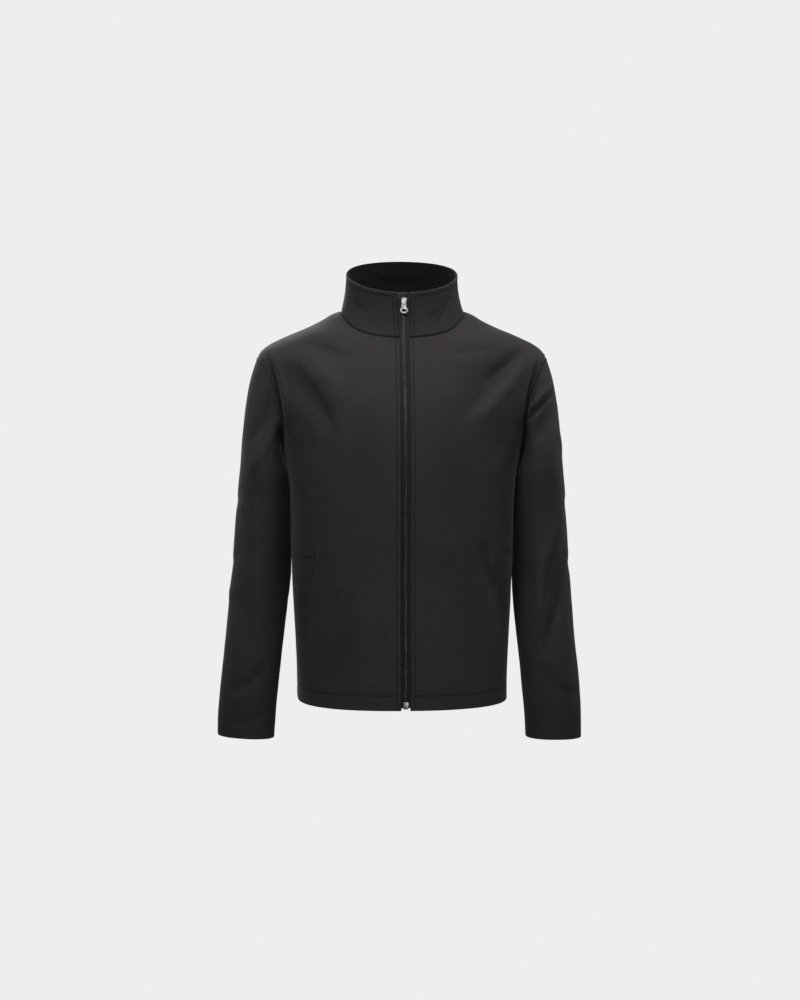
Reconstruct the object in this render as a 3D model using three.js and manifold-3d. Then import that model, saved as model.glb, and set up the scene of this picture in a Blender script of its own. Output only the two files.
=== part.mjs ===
// Softshell jacket with a stand collar and a full-length front zip, hollow and filled out as if worn,
// with the sleeves hanging. Millimetres, +Z up, the front faces -Y and the wearer's left is +X.
// The origin is the middle of the neck opening, level with the neck ends of the shoulder seams.
import * as THREE from "three";
import Module from "manifold-3d";

const wasm = await Module();
wasm.setup();

// Cloth and seams
const clothThickness = 2;
const facingThickness = 1.4;
const seamGap = 0.3;

// Driving heights of the body
const hemHeight = -675;
const underarmHeight = -236;
const shoulderPointHeight = -78;
const frontNeckHeight = -48;
const backNeckHeight = 18;

// Level sections of the body. halfWidth is at the side seam, front and back are the depths at the
// centre lines and square is the exponent of the superellipse, 2 for an ellipse. Between the
// shoulder point and the underarm the side seam lies inside the armhole and isn't cut from cloth.
const bodySections = [
  { height: 30, halfWidth: 64, front: 34, back: 68, square: 2.0 },
  { height: 18, halfWidth: 80, front: 42, back: 76, square: 2.0 },
  { height: 0, halfWidth: 106, front: 51, back: 86, square: 2.0 },
  { height: -7, halfWidth: 124, front: 55, back: 90, square: 2.0 },
  { height: -14, halfWidth: 135, front: 60, back: 94, square: 2.05 },
  { height: -28, halfWidth: 162, front: 72, back: 101, square: 2.1 },
  { height: -45, halfWidth: 202, front: 89, back: 108, square: 2.15 },
  { height: -60, halfWidth: 232, front: 97, back: 113, square: 2.2 },
  { height: -78, halfWidth: 250, front: 106, back: 118, square: 2.25 },
  { height: -105, halfWidth: 253, front: 118, back: 124, square: 2.3 },
  { height: -155, halfWidth: 240, front: 134, back: 130, square: 2.35 },
  { height: -205, halfWidth: 217, front: 143, back: 132, square: 2.4 },
  { height: -236, halfWidth: 207, front: 146, back: 131, square: 2.4 },
  { height: -282, halfWidth: 200, front: 148, back: 127, square: 2.4 },
  { height: -356, halfWidth: 195, front: 148, back: 119, square: 2.4 },
  { height: -430, halfWidth: 193, front: 146, back: 114, square: 2.4 },
  { height: -500, halfWidth: 190, front: 146, back: 114, square: 2.4 },
  { height: -580, halfWidth: 186, front: 148, back: 119, square: 2.4 },
  { height: -640, halfWidth: 184, front: 150, back: 123, square: 2.4 },
  { height: -675, halfWidth: 184, front: 150, back: 125, square: 2.4 },
];

// How far the armhole cuts in from the side line, as a share of the quarter section
const frontArmholeReach = 0.25;
const backArmholeReach = 0.21;
const necklineFlatness = 1.1; // above 1 the neckline stays low for longer before it rises

// Level sections of a sleeve below the underarm. The centre lies this far from the middle of the
// jacket on each side, and forward of it. wide is the half width out from the centre, in is the half
// width towards the body before the body's side presses on it.
const sleeveSections = [
  { height: -285, left: 241, right: 242, forward: -8, wide: 42, in: 60, halfDeep: 78 },
  { height: -325, left: 241.5, right: 243.5, forward: -10, wide: 44.5, in: 60, halfDeep: 74 },
  { height: -381, left: 243, right: 245, forward: -11, wide: 47.5, in: 57, halfDeep: 69 },
  { height: -437, left: 245, right: 247, forward: -9, wide: 49.5, in: 52, halfDeep: 63 },
  { height: -493, left: 246.5, right: 250.5, forward: -5, wide: 51.5, in: 51, halfDeep: 58 },
  { height: -549, left: 251, right: 256, forward: 1, wide: 51.5, in: 51, halfDeep: 54 },
  { height: -605, left: 256, right: 262, forward: 8, wide: 51.5, in: 50.5, halfDeep: 50 },
  { height: -661, left: 260.5, right: 267.5, forward: 15, wide: 51, in: 50, halfDeep: 46 },
  { height: -703, left: 262.5, right: 270.5, forward: 20, wide: 51, in: 49, halfDeep: 42 },
  { height: -738, left: 264, right: 272.5, forward: 24, wide: 50, in: 48, halfDeep: 39 },
];
// How much lower each sleeve ends than the table, and how much lower the outer side of its cuff is
const cuffHang = { left: { drop: 5, tip: 0.5 }, right: { drop: -1, tip: -3 } };
const cuffHangStart = -600; // the tip grows from here down
const bodyClearance = 3; // between a sleeve and the side of the body that presses on it
const sleeveSquare = 2.15;

// Stand collar: the top edge is an ellipse that slopes down to the front
const collarTopHalfWidth = 97;
const collarTopFront = 73;
const collarTopBack = 71;
const collarTopHeight = { front: 29, side: 64, back: 90 };
const collarRoll = 1.35; // how far the collar leans in at its seam before it stands up
const collarTopRoll = -0.7 * collarRoll;

// Opening for the zip between the folded front edges
const zipWindowHalf = 8;
const zipWindowHalfAtTop = 12;

// Zip
const tapeThickness = 1;
const tapeHalfWidth = 14.5;
const teethHalfWidth = 3;
const teethThickness = 2.4;
const guardHalfWidth = 15;
const guardThickness = 1.4;
const sliderHeight = 14;
const zipEndHeight = 4;
const zipSpreadAtTop = 5;

// Box and pin that join the zip's two sides at the hem
const endBox = { width: 8.5, depth: 3.6, height: 12, aboveHem: 2 };
const endBoxTop = hemHeight + endBox.aboveHem + endBox.height;

// Hand pockets: a folded welt along a slanted line, upper inner end to lower outer end
const pocketTop = { across: 143, height: -398 };
const pocketEnd = { across: 180, height: -562 };
const weltWidth = 10;
const weltThickness = 1.2;
const weltLift = 0.9;

// The largest folds, seen from the side of the garment that they are on. across is positive on the
// wearer's left, depth is positive for a ridge and negative for a trough.
const bodyFolds = [
  { on: "front", fromAcross: -200, fromHeight: -68, toAcross: -96, toHeight: -176, width: 21, depth: 5 },
  { on: "front", fromAcross: -206, fromHeight: -92, toAcross: -120, toHeight: -198, width: 21, depth: -5 },
  { on: "front", fromAcross: -176, fromHeight: -50, toAcross: -82, toHeight: -96, width: 18, depth: -4 },
  { on: "front", fromAcross: 226, fromHeight: -74, toAcross: 118, toHeight: -206, width: 22, depth: 5 },
  { on: "front", fromAcross: 206, fromHeight: -72, toAcross: 92, toHeight: -174, width: 21, depth: -6 },
  { on: "front", fromAcross: 196, fromHeight: -46, toAcross: 66, toHeight: -98, width: 20, depth: 4 },
  { on: "front", fromAcross: -150, fromHeight: -340, toAcross: -176, toHeight: -668, width: 9, depth: -3 },
  { on: "front", fromAcross: 128, fromHeight: -385, toAcross: 184, toHeight: -570, width: 10, depth: -3 },
  { on: "front", fromAcross: 40, fromHeight: -420, toAcross: 120, toHeight: -640, width: 30, depth: -2.5 },
  { on: "back", fromAcross: -205, fromHeight: -150, toAcross: -90, toHeight: -300, width: 18, depth: -5 },
  { on: "back", fromAcross: 205, fromHeight: -160, toAcross: 84, toHeight: -280, width: 18, depth: -5 },
  { on: "back", fromAcross: -150, fromHeight: -380, toAcross: 60, toHeight: -410, width: 22, depth: -4 },
  { on: "back", fromAcross: 160, fromHeight: -440, toAcross: -40, toHeight: -470, width: 20, depth: 4 },
  { on: "back", fromAcross: 60, fromHeight: -500, toAcross: 90, toHeight: -680, width: 26, depth: 4 },
  { on: "back", fromAcross: -70, fromHeight: -520, toAcross: -100, toHeight: -680, width: 26, depth: 4 },
];

const sleeveFolds = [
  { on: "front", fromAcross: 214, fromHeight: -196, toAcross: 268, toHeight: -138, width: 9, depth: 4 },
  { on: "front", fromAcross: 222, fromHeight: -222, toAcross: 274, toHeight: -168, width: 11, depth: -4 },
  { on: "front", fromAcross: 284, fromHeight: -270, toAcross: 254, toHeight: -480, width: 10, depth: 3.5 },
  { on: "front", fromAcross: 286, fromHeight: -430, toAcross: 254, toHeight: -590, width: 10, depth: -3.5 },
  { on: "front", fromAcross: 240, fromHeight: -390, toAcross: 230, toHeight: -580, width: 12, depth: 3 },
  { on: "front", fromAcross: -224, fromHeight: -150, toAcross: -262, toHeight: -250, width: 12, depth: -3.5 },
  { on: "front", fromAcross: -262, fromHeight: -330, toAcross: -244, toHeight: -560, width: 14, depth: 3 },
  { on: "back", fromAcross: 222, fromHeight: -190, toAcross: 270, toHeight: -260, width: 12, depth: -4 },
  { on: "back", fromAcross: -222, fromHeight: -200, toAcross: -272, toHeight: -270, width: 12, depth: -4 },
  { on: "back", fromAcross: 214, fromHeight: -430, toAcross: 286, toHeight: -470, width: 12, depth: -4 },
  { on: "back", fromAcross: -214, fromHeight: -420, toAcross: -288, toHeight: -465, width: 12, depth: -4 },
  { on: "back", fromAcross: 220, fromHeight: -480, toAcross: 284, toHeight: -520, width: 12, depth: 3 },
  { on: "back", fromAcross: -222, fromHeight: -475, toAcross: -286, toHeight: -510, width: 12, depth: 3 },
];

// Mesh counts
const lowRows = 16; // hem to underarm
const armholeRows = 14; // underarm to shoulder point
const neckRows = 8; // along each quarter of the neckline
const panelColumns = 12; // front and back alike, because they share the shoulder seam
const capRows = 7; // armhole to the first level section of the sleeve
const sleeveRows = 14;
const collarRows = 5;
const panelRows = lowRows + armholeRows;
const sleeveColumns = 2 * armholeRows;

const clamp = THREE.MathUtils.clamp;
const lerp = THREE.MathUtils.lerp;

// Smooth value of one column of a table of rows in order of falling height
function columnAt(rows, column, height) {
  let i = 0;
  while (i < rows.length - 2 && height < rows[i + 1].height) i++;
  const slope = (a, b) => (rows[b][column] - rows[a][column]) / (rows[b].height - rows[a].height);
  const tangent = (k) => {
    if (k === 0) return slope(0, 1);
    if (k === rows.length - 1) return slope(k - 1, k);
    return (slope(k - 1, k) + slope(k, k + 1)) / 2;
  };
  const span = rows[i + 1].height - rows[i].height;
  const t = clamp((height - rows[i].height) / span, 0, 1);
  const t2 = t * t;
  const t3 = t2 * t;
  return (
    (2 * t3 - 3 * t2 + 1) * rows[i][column] +
    (t3 - 2 * t2 + t) * span * tangent(i) +
    (3 * t2 - 2 * t3) * rows[i + 1][column] +
    (t3 - t2) * span * tangent(i + 1)
  );
}

const foldEndShape = 0.8; // below 1 a fold keeps its depth for longer before its ends fade

// How far the folds of a table lift the cloth at a place seen from the front or the back
function foldLift(folds, on, across, height) {
  let lift = 0;
  for (const fold of folds) {
    if (fold.on !== on) continue;
    const alongX = fold.toAcross - fold.fromAcross;
    const alongZ = fold.toHeight - fold.fromHeight;
    const length = Math.hypot(alongX, alongZ);
    const dx = across - fold.fromAcross;
    const dz = height - fold.fromHeight;
    const t = (dx * alongX + dz * alongZ) / length ** 2;
    if (t <= 0 || t >= 1) continue;
    const aside = (dx * alongZ - dz * alongX) / length;
    lift += fold.depth * Math.exp(-((aside / fold.width) ** 2)) * Math.sin(Math.PI * t) ** foldEndShape;
  }
  return lift;
}

// A quarter of a level body section as points from the centre line to the side, with their lengths
const quarterSteps = 60;
function quarterSection(half, height) {
  const halfWidth = columnAt(bodySections, "halfWidth", height);
  const depth = columnAt(bodySections, half, height);
  const power = 2 / columnAt(bodySections, "square", height);
  const points = [];
  const lengths = [0];
  for (let i = 0; i <= quarterSteps; i++) {
    const angle = ((i / quarterSteps) * Math.PI) / 2;
    points.push([halfWidth * Math.sin(angle) ** power, depth * Math.cos(angle) ** power]);
    if (i) lengths.push(lengths[i - 1] + Math.hypot(points[i][0] - points[i - 1][0], points[i][1] - points[i - 1][1]));
  }
  return { points, lengths };
}

// A point of the smooth body. half is front or back, side is 1 on the wearer's left and -1 on the
// right, share runs from the centre line, 0, to the side line, 1.
function bodyPoint(half, side, share, height) {
  const { points, lengths } = quarterSection(half, height);
  const wanted = clamp(share, 0, 1) * lengths[quarterSteps];
  let i = 0;
  while (i < quarterSteps - 1 && lengths[i + 1] < wanted) i++;
  const t = (wanted - lengths[i]) / (lengths[i + 1] - lengths[i]);
  const across = lerp(points[i][0], points[i + 1][0], t);
  const depth = lerp(points[i][1], points[i + 1][1], t);
  return new THREE.Vector3(side * across, half === "front" ? -depth : depth, height);
}

// The share at which a level section is a given distance from the centre line, close to it
const shareAcross = (half, across, height) => across / quarterSection(half, height).lengths[quarterSteps];

// The two ends of each row of a body panel, in share and height: centre line then neckline on one
// side, side seam then armhole on the other
function panelEnds(half) {
  const neckHeight = half === "front" ? frontNeckHeight : backNeckHeight;
  const reach = half === "front" ? frontArmholeReach : backArmholeReach;
  const centreRows = panelRows - neckRows;
  const ends = [];
  for (let row = 0; row <= panelRows; row++) {
    let inner;
    if (row <= centreRows) {
      const lowHeight = lerp(hemHeight, underarmHeight, Math.min(row / lowRows, 1));
      const up = clamp((row - lowRows) / (centreRows - lowRows), 0, 1);
      inner = { share: 0, height: lerp(lowHeight, neckHeight, up) };
    } else {
      const share = (row - centreRows) / neckRows;
      const rise = ((1 - Math.cos(Math.PI * share)) / 2) ** necklineFlatness;
      inner = { share, height: neckHeight * (1 - rise) };
    }
    let outer;
    if (row <= lowRows) {
      outer = { share: 1, height: lerp(hemHeight, underarmHeight, row / lowRows) };
    } else {
      const turn = (Math.PI * (panelRows - row)) / armholeRows;
      const middle = (shoulderPointHeight + underarmHeight) / 2;
      const reachUp = (shoulderPointHeight - underarmHeight) / 2;
      outer = { share: 1 - reach * Math.sin(turn), height: middle + reachUp * Math.cos(turn) };
    }
    ends.push({ inner, outer });
  }
  return ends;
}

// Grid of points of one half panel, row by row from the hem, column by column from the centre
function halfPanel(half, side, columns = panelColumns) {
  return panelEnds(half).map(({ inner, outer }, row) => {
    const edge = half === "front" ? shareAcross("front", zipWindowHalf, inner.height) : 0;
    const start = half === "front" ? Math.max(inner.share, edge) : inner.share;
    return Array.from({ length: columns + 1 }, (_, column) => {
      const t = column / columns;
      const share = lerp(start, outer.share, t);
      const height = lerp(inner.height, outer.height, t);
      return bodyPoint(half, side, share, height);
    });
  });
}

// Faces of a grid, wound so that they look out on the wearer's left and turned over on the right
function gridFaces(rows, columns, at, flip) {
  const faces = [];
  for (let r = 0; r < rows; r++) {
    for (let c = 0; c < columns; c++) {
      const [a, b, d, e] = [at(r, c), at(r, c + 1), at(r + 1, c + 1), at(r + 1, c)];
      faces.push(...(flip ? [[a, d, b], [a, e, d]] : [[a, b, d], [a, d, e]]));
    }
  }
  return faces;
}

// A sheet is a list of points and of faces that look out
function sheetOfGrid(grid, flip) {
  const columns = grid[0].length;
  return {
    points: grid.flat(),
    faces: gridFaces(grid.length - 1, columns - 1, (r, c) => r * columns + c, flip),
  };
}

// Joins sheets where their points meet
function joinSheets(...sheets) {
  const joined = { points: [], faces: [] };
  const known = new Map();
  for (const sheet of sheets) {
    const index = sheet.points.map((point) => {
      const key = point.toArray().map((v) => Math.round(v * 100)).join();
      if (!known.has(key)) {
        known.set(key, joined.points.length);
        joined.points.push(point);
      }
      return known.get(key);
    });
    joined.faces.push(...sheet.faces.map((face) => face.map((i) => index[i])));
  }
  return joined;
}

// Normals of a sheet at its points
function sheetNormals(sheet) {
  const normals = sheet.points.map(() => new THREE.Vector3());
  for (const face of sheet.faces) {
    const [a, b, c] = face.map((i) => sheet.points[i]);
    const cross = b.clone().sub(a).cross(c.clone().sub(a));
    for (const i of face) normals[i].add(cross);
  }
  return normals.map((n) => n.normalize());
}

// Moves the points of a sheet out by its folds, less near the given plain places
function foldSheet(sheet, folds, sideOf, keepPlain) {
  const normals = sheetNormals(sheet);
  sheet.points = sheet.points.map((point, i) => {
    const lift = foldLift(folds, sideOf(point), point.x, point.z) * (1 - keepPlain(point));
    return point.clone().addScaledVector(normals[i], lift);
  });
}

// Gives sheets that share a seam one normal at each shared point, so that their edges face
function matchSeamNormals(sheets) {
  const shared = new Map();
  for (const sheet of sheets) {
    sheet.normals = sheetNormals(sheet);
    sheet.points.forEach((point, i) => {
      const key = point.toArray().map((v) => Math.round(v * 50)).join();
      if (!shared.has(key)) shared.set(key, []);
      shared.get(key).push(sheet.normals[i]);
    });
  }
  for (const normals of shared.values()) {
    const mean = normals.reduce((sum, n) => sum.add(n), new THREE.Vector3()).normalize();
    for (const n of normals) n.copy(mean);
  }
}

// Directed edges that bound a sheet
function boundaryEdges(faces) {
  const edges = new Map();
  for (const [a, b, c] of faces) {
    for (const [p, q] of [[a, b], [b, c], [c, a]]) edges.set(`${p},${q}`, [p, q]);
  }
  return [...edges.values()].filter(([p, q]) => !edges.has(`${q},${p}`));
}

// A wall of cloth: the sheet drawn in by half a seam gap at its edges, from outset down by thickness
function wallGeometry(sheet, thickness, outset = 0) {
  const { points, faces } = sheet;
  const normals = sheet.normals ?? sheetNormals(sheet);
  const rim = boundaryEdges(faces);
  const inward = points.map(() => new THREE.Vector3());
  for (const [p, q] of rim) {
    const along = points[q].clone().sub(points[p]).normalize();
    for (const i of [p, q]) inward[i].add(normals[i].clone().cross(along));
  }
  const positions = [];
  for (const level of [outset, outset - thickness]) {
    points.forEach((point, i) => {
      const moved = point.clone().addScaledVector(inward[i].normalize(), inward[i].lengthSq() ? seamGap / 2 : 0);
      positions.push(...moved.addScaledVector(normals[i], level).toArray());
    });
  }
  const n = points.length;
  const index = [];
  for (const [a, b, c] of faces) index.push(a, b, c, n + a, n + c, n + b);
  for (const [p, q] of rim) {
    // The lower end picks the diagonal, so that both sides of a seam are split alike
    const pFirst = points[p].z + 0.01 * points[p].y < points[q].z + 0.01 * points[q].y;
    index.push(...(pFirst ? [p, n + p, n + q, p, n + q, q] : [p, n + p, q, n + p, n + q, q]));
  }
  const geometry = new THREE.BufferGeometry();
  geometry.setAttribute("position", new THREE.Float32BufferAttribute(positions, 3));
  geometry.setIndex(index);
  geometry.computeVertexNormals();
  return geometry;
}

// Body panels
function frontSheet(side) {
  return sheetOfGrid(halfPanel("front", side), side < 0);
}

function backSheet() {
  return joinSheets(
    sheetOfGrid(halfPanel("back", 1), true),
    sheetOfGrid(halfPanel("back", -1), false),
  );
}

// The armhole as a loop of body points from the shoulder point down the front, under the arm and
// up the back
function armholeLoop(side) {
  const edge = (half) => panelEnds(half).map(({ outer }) => bodyPoint(half, side, outer.share, outer.height));
  const front = edge("front").slice(lowRows).reverse();
  const back = edge("back").slice(lowRows);
  return [...front, ...back.slice(1, -1)];
}

// A level ring of the sleeve from its outer side round by the front
function sleeveRing(side, height) {
  const at = (column) => columnAt(sleeveSections, column, height);
  const name = side > 0 ? "left" : "right";
  const centre = at(name);
  const tip = cuffHang[name].tip * clamp((cuffHangStart - height) / 100, 0, 1);
  const power = 2 / sleeveSquare;
  const rounded = (v) => Math.sign(v) * Math.abs(v) ** power;
  return Array.from({ length: sleeveColumns }, (_, i) => {
    const angle = (2 * Math.PI * i) / sleeveColumns;
    const across = rounded(Math.cos(angle));
    const place = new THREE.Vector3(
      side * (centre + (across > 0 ? at("wide") : at("in")) * across),
      -at("forward") - at("halfDeep") * rounded(Math.sin(angle)),
      height - tip * across,
    );
    return pressedOut(place, bodyClearance);
  });
}

// Moves a point of a sleeve out along x until it clears the side of the body
function pressedOut(point, clearance) {
  if (point.z > underarmHeight + 1 || point.z < hemHeight) return point;
  const depth = columnAt(bodySections, point.y < 0 ? "front" : "back", point.z);
  const away = Math.abs(point.y) / depth;
  if (away >= 1) return point;
  const square = columnAt(bodySections, "square", point.z);
  const bodyAcross = columnAt(bodySections, "halfWidth", point.z) * (1 - away ** square) ** (1 / square);
  if (Math.abs(point.x) < bodyAcross + clearance) point.x = Math.sign(point.x) * (bodyAcross + clearance);
  return point;
}

// Directions in which the sleeve leaves the armhole, from the shoulder point round by the front
const capStart = { top: [0.42, 0, -0.91], front: [0.42, 0.25, -0.87], under: [0.98, 0, -0.2], back: [0.46, -0.18, -0.87] };
const ringPull = 0.9;
const capRingStep = 20; // drop from the first level section that gives its direction
const capPull = { top: 0.8, front: 0.8, under: 0.75, back: 0.8 };

function sleeveSheet(side) {
  const armhole = armholeLoop(side);
  const top = sleeveSections[0].height;
  const end = sleeveSections[sleeveSections.length - 1].height - cuffHang[side > 0 ? "left" : "right"].drop;
  const first = sleeveRing(side, top);
  const second = sleeveRing(side, top - capRingStep);
  const names = ["top", "front", "under", "back"];
  const grid = [];
  for (let row = 0; row < capRows; row++) {
    const t = row / capRows;
    grid.push(
      armhole.map((from, i) => {
        const quarter = (4 * i) / sleeveColumns;
        const [a, b] = [names[Math.floor(quarter) % 4], names[(Math.floor(quarter) + 1) % 4]];
        const mix = (1 - Math.cos(Math.PI * (quarter % 1))) / 2;
        const reach = first[i].distanceTo(from);
        const leave = new THREE.Vector3(...capStart[a]).lerp(new THREE.Vector3(...capStart[b]), mix);
        leave.x *= side;
        leave.normalize().multiplyScalar(reach * lerp(capPull[a], capPull[b], mix));
        const arrive = second[i].clone().sub(first[i]).normalize().multiplyScalar(reach * ringPull);
        const [t2, t3] = [t * t, t * t * t];
        const place = from.clone().multiplyScalar(2 * t3 - 3 * t2 + 1)
          .addScaledVector(leave, t3 - 2 * t2 + t)
          .addScaledVector(first[i], 3 * t2 - 2 * t3)
          .addScaledVector(arrive, t3 - t2);
        return row ? pressedOut(place, bodyClearance * Math.min(1, 2 * t)) : place;
      }),
    );
  }
  for (let row = 0; row <= sleeveRows; row++) grid.push(sleeveRing(side, lerp(top, end, row / sleeveRows)));
  const rows = grid.length - 1;
  const at = (r, c) => r * sleeveColumns + (c % sleeveColumns);
  return { points: grid.flat(), faces: gridFaces(rows, sleeveColumns, at, side < 0) };
}

// The neckline as body points from the front edge on the wearer's left round the back to the right
function necklineLoop() {
  const quarter = (half, side) =>
    halfPanel(half, side, 1).slice(panelRows - neckRows).map((row) => row[0]);
  const left = [...quarter("front", 1), ...quarter("back", 1).reverse().slice(1)];
  const right = [...quarter("front", -1), ...quarter("back", -1).reverse().slice(1)];
  return [...left, ...right.reverse().slice(1)];
}

// A point of the collar: base is where its line leaves the neckline, turn is its angle from the
// centre front and rise runs from 0 at the neckline to 1 at the top edge
function collarPoint(base, turn, rise) {
  const away = Math.abs(turn);
  const { front, side, back } = collarTopHeight;
  const slope = (front + back) / 2 + ((front - back) / 2) * Math.cos(away);
  const height = slope + (side - (front + back) / 2) * Math.sin(away) ** 2;
  const depth = away < Math.PI / 2 ? collarTopFront : collarTopBack;
  const top = new THREE.Vector3(collarTopHalfWidth * Math.sin(turn), -depth * Math.cos(turn), height);
  const line = top.clone().sub(base);
  const level = new THREE.Vector3(line.x, line.y, 0);
  const leave = line.clone().addScaledVector(level, collarRoll);
  const arrive = line.clone().addScaledVector(level, collarTopRoll);
  const [t, t2, t3] = [rise, rise ** 2, rise ** 3];
  return base.clone().multiplyScalar(2 * t3 - 3 * t2 + 1)
    .addScaledVector(leave, t3 - 2 * t2 + t)
    .addScaledVector(top, 3 * t2 - 2 * t3)
    .addScaledVector(arrive, t3 - t2);
}

// Angle round the collar of a point of the neckline, and of the same line at the top edge, where
// the front edges stand further apart
const necklineTurn = (point) => Math.atan2(point.x / 106, point.y < 0 ? -point.y / 88 : -point.y / 76);
const baseEdgeTurn = Math.asin(zipWindowHalf / 106);
const topEdgeTurn = Math.asin(zipWindowHalfAtTop / collarTopHalfWidth);
function topTurn(turn, edgeTurn = topEdgeTurn) {
  const share = (Math.PI - Math.abs(turn)) / (Math.PI - baseEdgeTurn);
  return Math.sign(turn) * (Math.PI - share * (Math.PI - edgeTurn));
}

function collarSheet() {
  const base = necklineLoop();
  const grid = [];
  for (let row = 0; row <= collarRows; row++) {
    grid.push(base.map((point) => collarPoint(point, topTurn(necklineTurn(point)), row / collarRows)));
  }
  return sheetOfGrid(grid, false);
}

// The sheet of the collar without its front ends, for the facing that lines it
const facingSkippedColumns = 1;
const facingSkippedRise = 0.06;
function facingSheet(collar) {
  const columns = collar.points.length / (collarRows + 1);
  const grid = [];
  for (let row = 0; row <= collarRows; row++) {
    const line = collar.points.slice(row * columns, (row + 1) * columns);
    grid.push(line.slice(facingSkippedColumns, columns - facingSkippedColumns));
  }
  const lowest = grid[0].map((point, i) => point.clone().lerp(grid[1][i], facingSkippedRise * collarRows));
  return sheetOfGrid([lowest, ...grid.slice(1)], false);
}

// Stations up the centre front, each with the cloth's middle point and the direction out of it
function zipStations() {
  const heights = [hemHeight + zipEndHeight, endBoxTop];
  const torsoSteps = 16;
  const chainStart = endBoxTop + 2 * seamGap;
  for (let i = 0; i < torsoSteps; i++) heights.push(lerp(chainStart, frontNeckHeight, i / torsoSteps));
  const stations = heights.map((height) => bodyPoint("front", 1, 0, height));
  const neck = bodyPoint("front", 1, 0, frontNeckHeight);
  const collarSteps = 6;
  for (let i = 0; i <= collarSteps; i++) stations.push(collarPoint(neck, 0, i / collarSteps));
  return stations.map((point, i) => {
    const up = stations[Math.min(i + 1, stations.length - 1)].clone().sub(stations[Math.max(i - 1, 0)]);
    return { point, out: new THREE.Vector3(0, -up.z, up.y).normalize() };
  });
}

// How far each side of the zip stands from the middle: nothing below the slider, a V above it
const stations = zipStations();
function zipSpread(height) {
  const top = collarTopHeight.front;
  return height < sliderHeight ? 0 : (zipSpreadAtTop * (height - sliderHeight)) / (top - sliderHeight);
}

// The cloth curves back on each side of the middle by this much
const sagRadius = 128;
const sagAt = (across) => across ** 2 / (2 * sagRadius);

// A closed strip up the centre front: a cross-section of corners { across, out } at each station
function stripGeometry(cornersAt, from = 0, to = stations.length - 1) {
  const positions = [];
  const index = [];
  const used = stations.slice(from, to + 1);
  const count = cornersAt(used[0].point.z).length;
  for (const { point, out } of used) {
    for (const corner of cornersAt(point.z)) {
      const moved = point.clone().addScaledVector(out, corner.out - sagAt(corner.across));
      positions.push(corner.across, moved.y, moved.z);
    }
  }
  for (let s = 0; s < used.length - 1; s++) {
    for (let c = 0; c < count; c++) {
      const [a, b] = [s * count + c, s * count + ((c + 1) % count)];
      index.push(a, b, b + count, a, b + count, a + count);
    }
  }
  const last = (used.length - 1) * count;
  for (let c = 1; c < count - 1; c++) {
    index.push(0, c + 1, c);
    index.push(last, last + c, last + c + 1);
  }
  const geometry = new THREE.BufferGeometry();
  geometry.setAttribute("position", new THREE.Float32BufferAttribute(positions, 3));
  geometry.setIndex(index);
  geometry.computeVertexNormals();
  return geometry;
}

// Corners of a rectangle, in order round it seen from above
const rectangle = (nearAcross, farAcross, top, bottom) => [
  { across: Math.min(nearAcross, farAcross), out: top },
  { across: Math.max(nearAcross, farAcross), out: top },
  { across: Math.max(nearAcross, farAcross), out: bottom },
  { across: Math.min(nearAcross, farAcross), out: bottom },
];

const tapeTop = -(clothThickness + seamGap);
const teethTop = tapeTop - tapeThickness / 2 + teethThickness / 2;
const teethBottom = teethTop - teethThickness;
const guardTop = teethBottom - 3 * seamGap;

function tapeGeometry(side) {
  return stripGeometry((height) => {
    const beside = height > endBoxTop + seamGap ? teethHalfWidth : endBox.width / 2;
    const near = side * (beside + seamGap + zipSpread(height));
    return rectangle(near, side * (tapeHalfWidth + zipSpread(height) / 2), tapeTop, tapeTop - tapeThickness);
  });
}

function teethGeometry(side) {
  return stripGeometry((height) => {
    const middle = side * (seamGap / 2 + zipSpread(height));
    return rectangle(middle, side * (teethHalfWidth + zipSpread(height)), teethTop, teethBottom);
  }, 2);
}

const guardGeometry = () =>
  stripGeometry(() => rectangle(-guardHalfWidth, guardHalfWidth, guardTop, guardTop - guardThickness));

// Solid geometry to and from the boolean library, for the pieces cut from simple shapes
function toSolid(geometry) {
  const flat = geometry.index ? geometry.toNonIndexed() : geometry;
  const known = new Map();
  const vertices = [];
  const triangles = [];
  const position = flat.getAttribute("position");
  for (let i = 0; i < position.count; i++) {
    const place = [position.getX(i), position.getY(i), position.getZ(i)];
    const key = place.map((v) => Math.round(v * 1e4)).join();
    if (!known.has(key)) {
      known.set(key, vertices.length / 3);
      vertices.push(...place);
    }
    triangles.push(known.get(key));
  }
  return new wasm.Manifold(
    new wasm.Mesh({ numProp: 3, vertProperties: new Float32Array(vertices), triVerts: new Uint32Array(triangles) }),
  );
}

function fromSolid(solid) {
  const mesh = solid.getMesh();
  const geometry = new THREE.BufferGeometry();
  geometry.setAttribute("position", new THREE.Float32BufferAttribute(mesh.vertProperties, 3));
  geometry.setIndex([...mesh.triVerts]);
  geometry.computeVertexNormals();
  return geometry;
}

const boxAt = (width, depth, height, x, y, z) => new THREE.BoxGeometry(width, depth, height).translate(x, y, z);

// Slider, in its own frame: across x, out along -y, up the zip +z, with the tops of its plates level
// with the teeth's middle at y 0
const sliderWidth = 9.5;
const sliderLength = 11;
const sliderWaist = 0.4;
const sliderTaper = 1.8;
const plateThickness = 1.1;
const plateGap = teethThickness + 0.9;
const bridgeWidth = 2.2;
const bridgeLength = 7;
const bridgeRise = 3.4;
const bridgeWall = 1.2;
const wedgeWidth = 1.6;
const wedgeLength = 2.4;
const weld = 0.4; // how far joined shapes run into each other
const bridgeFront = -(plateGap / 2 + plateThickness);
const pinRadius = 0.65;
const pinPlace = { out: bridgeFront - (bridgeRise - bridgeWall) / 2, up: -bridgeLength / 2 + bridgeWall + pinRadius + 0.45 };

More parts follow.
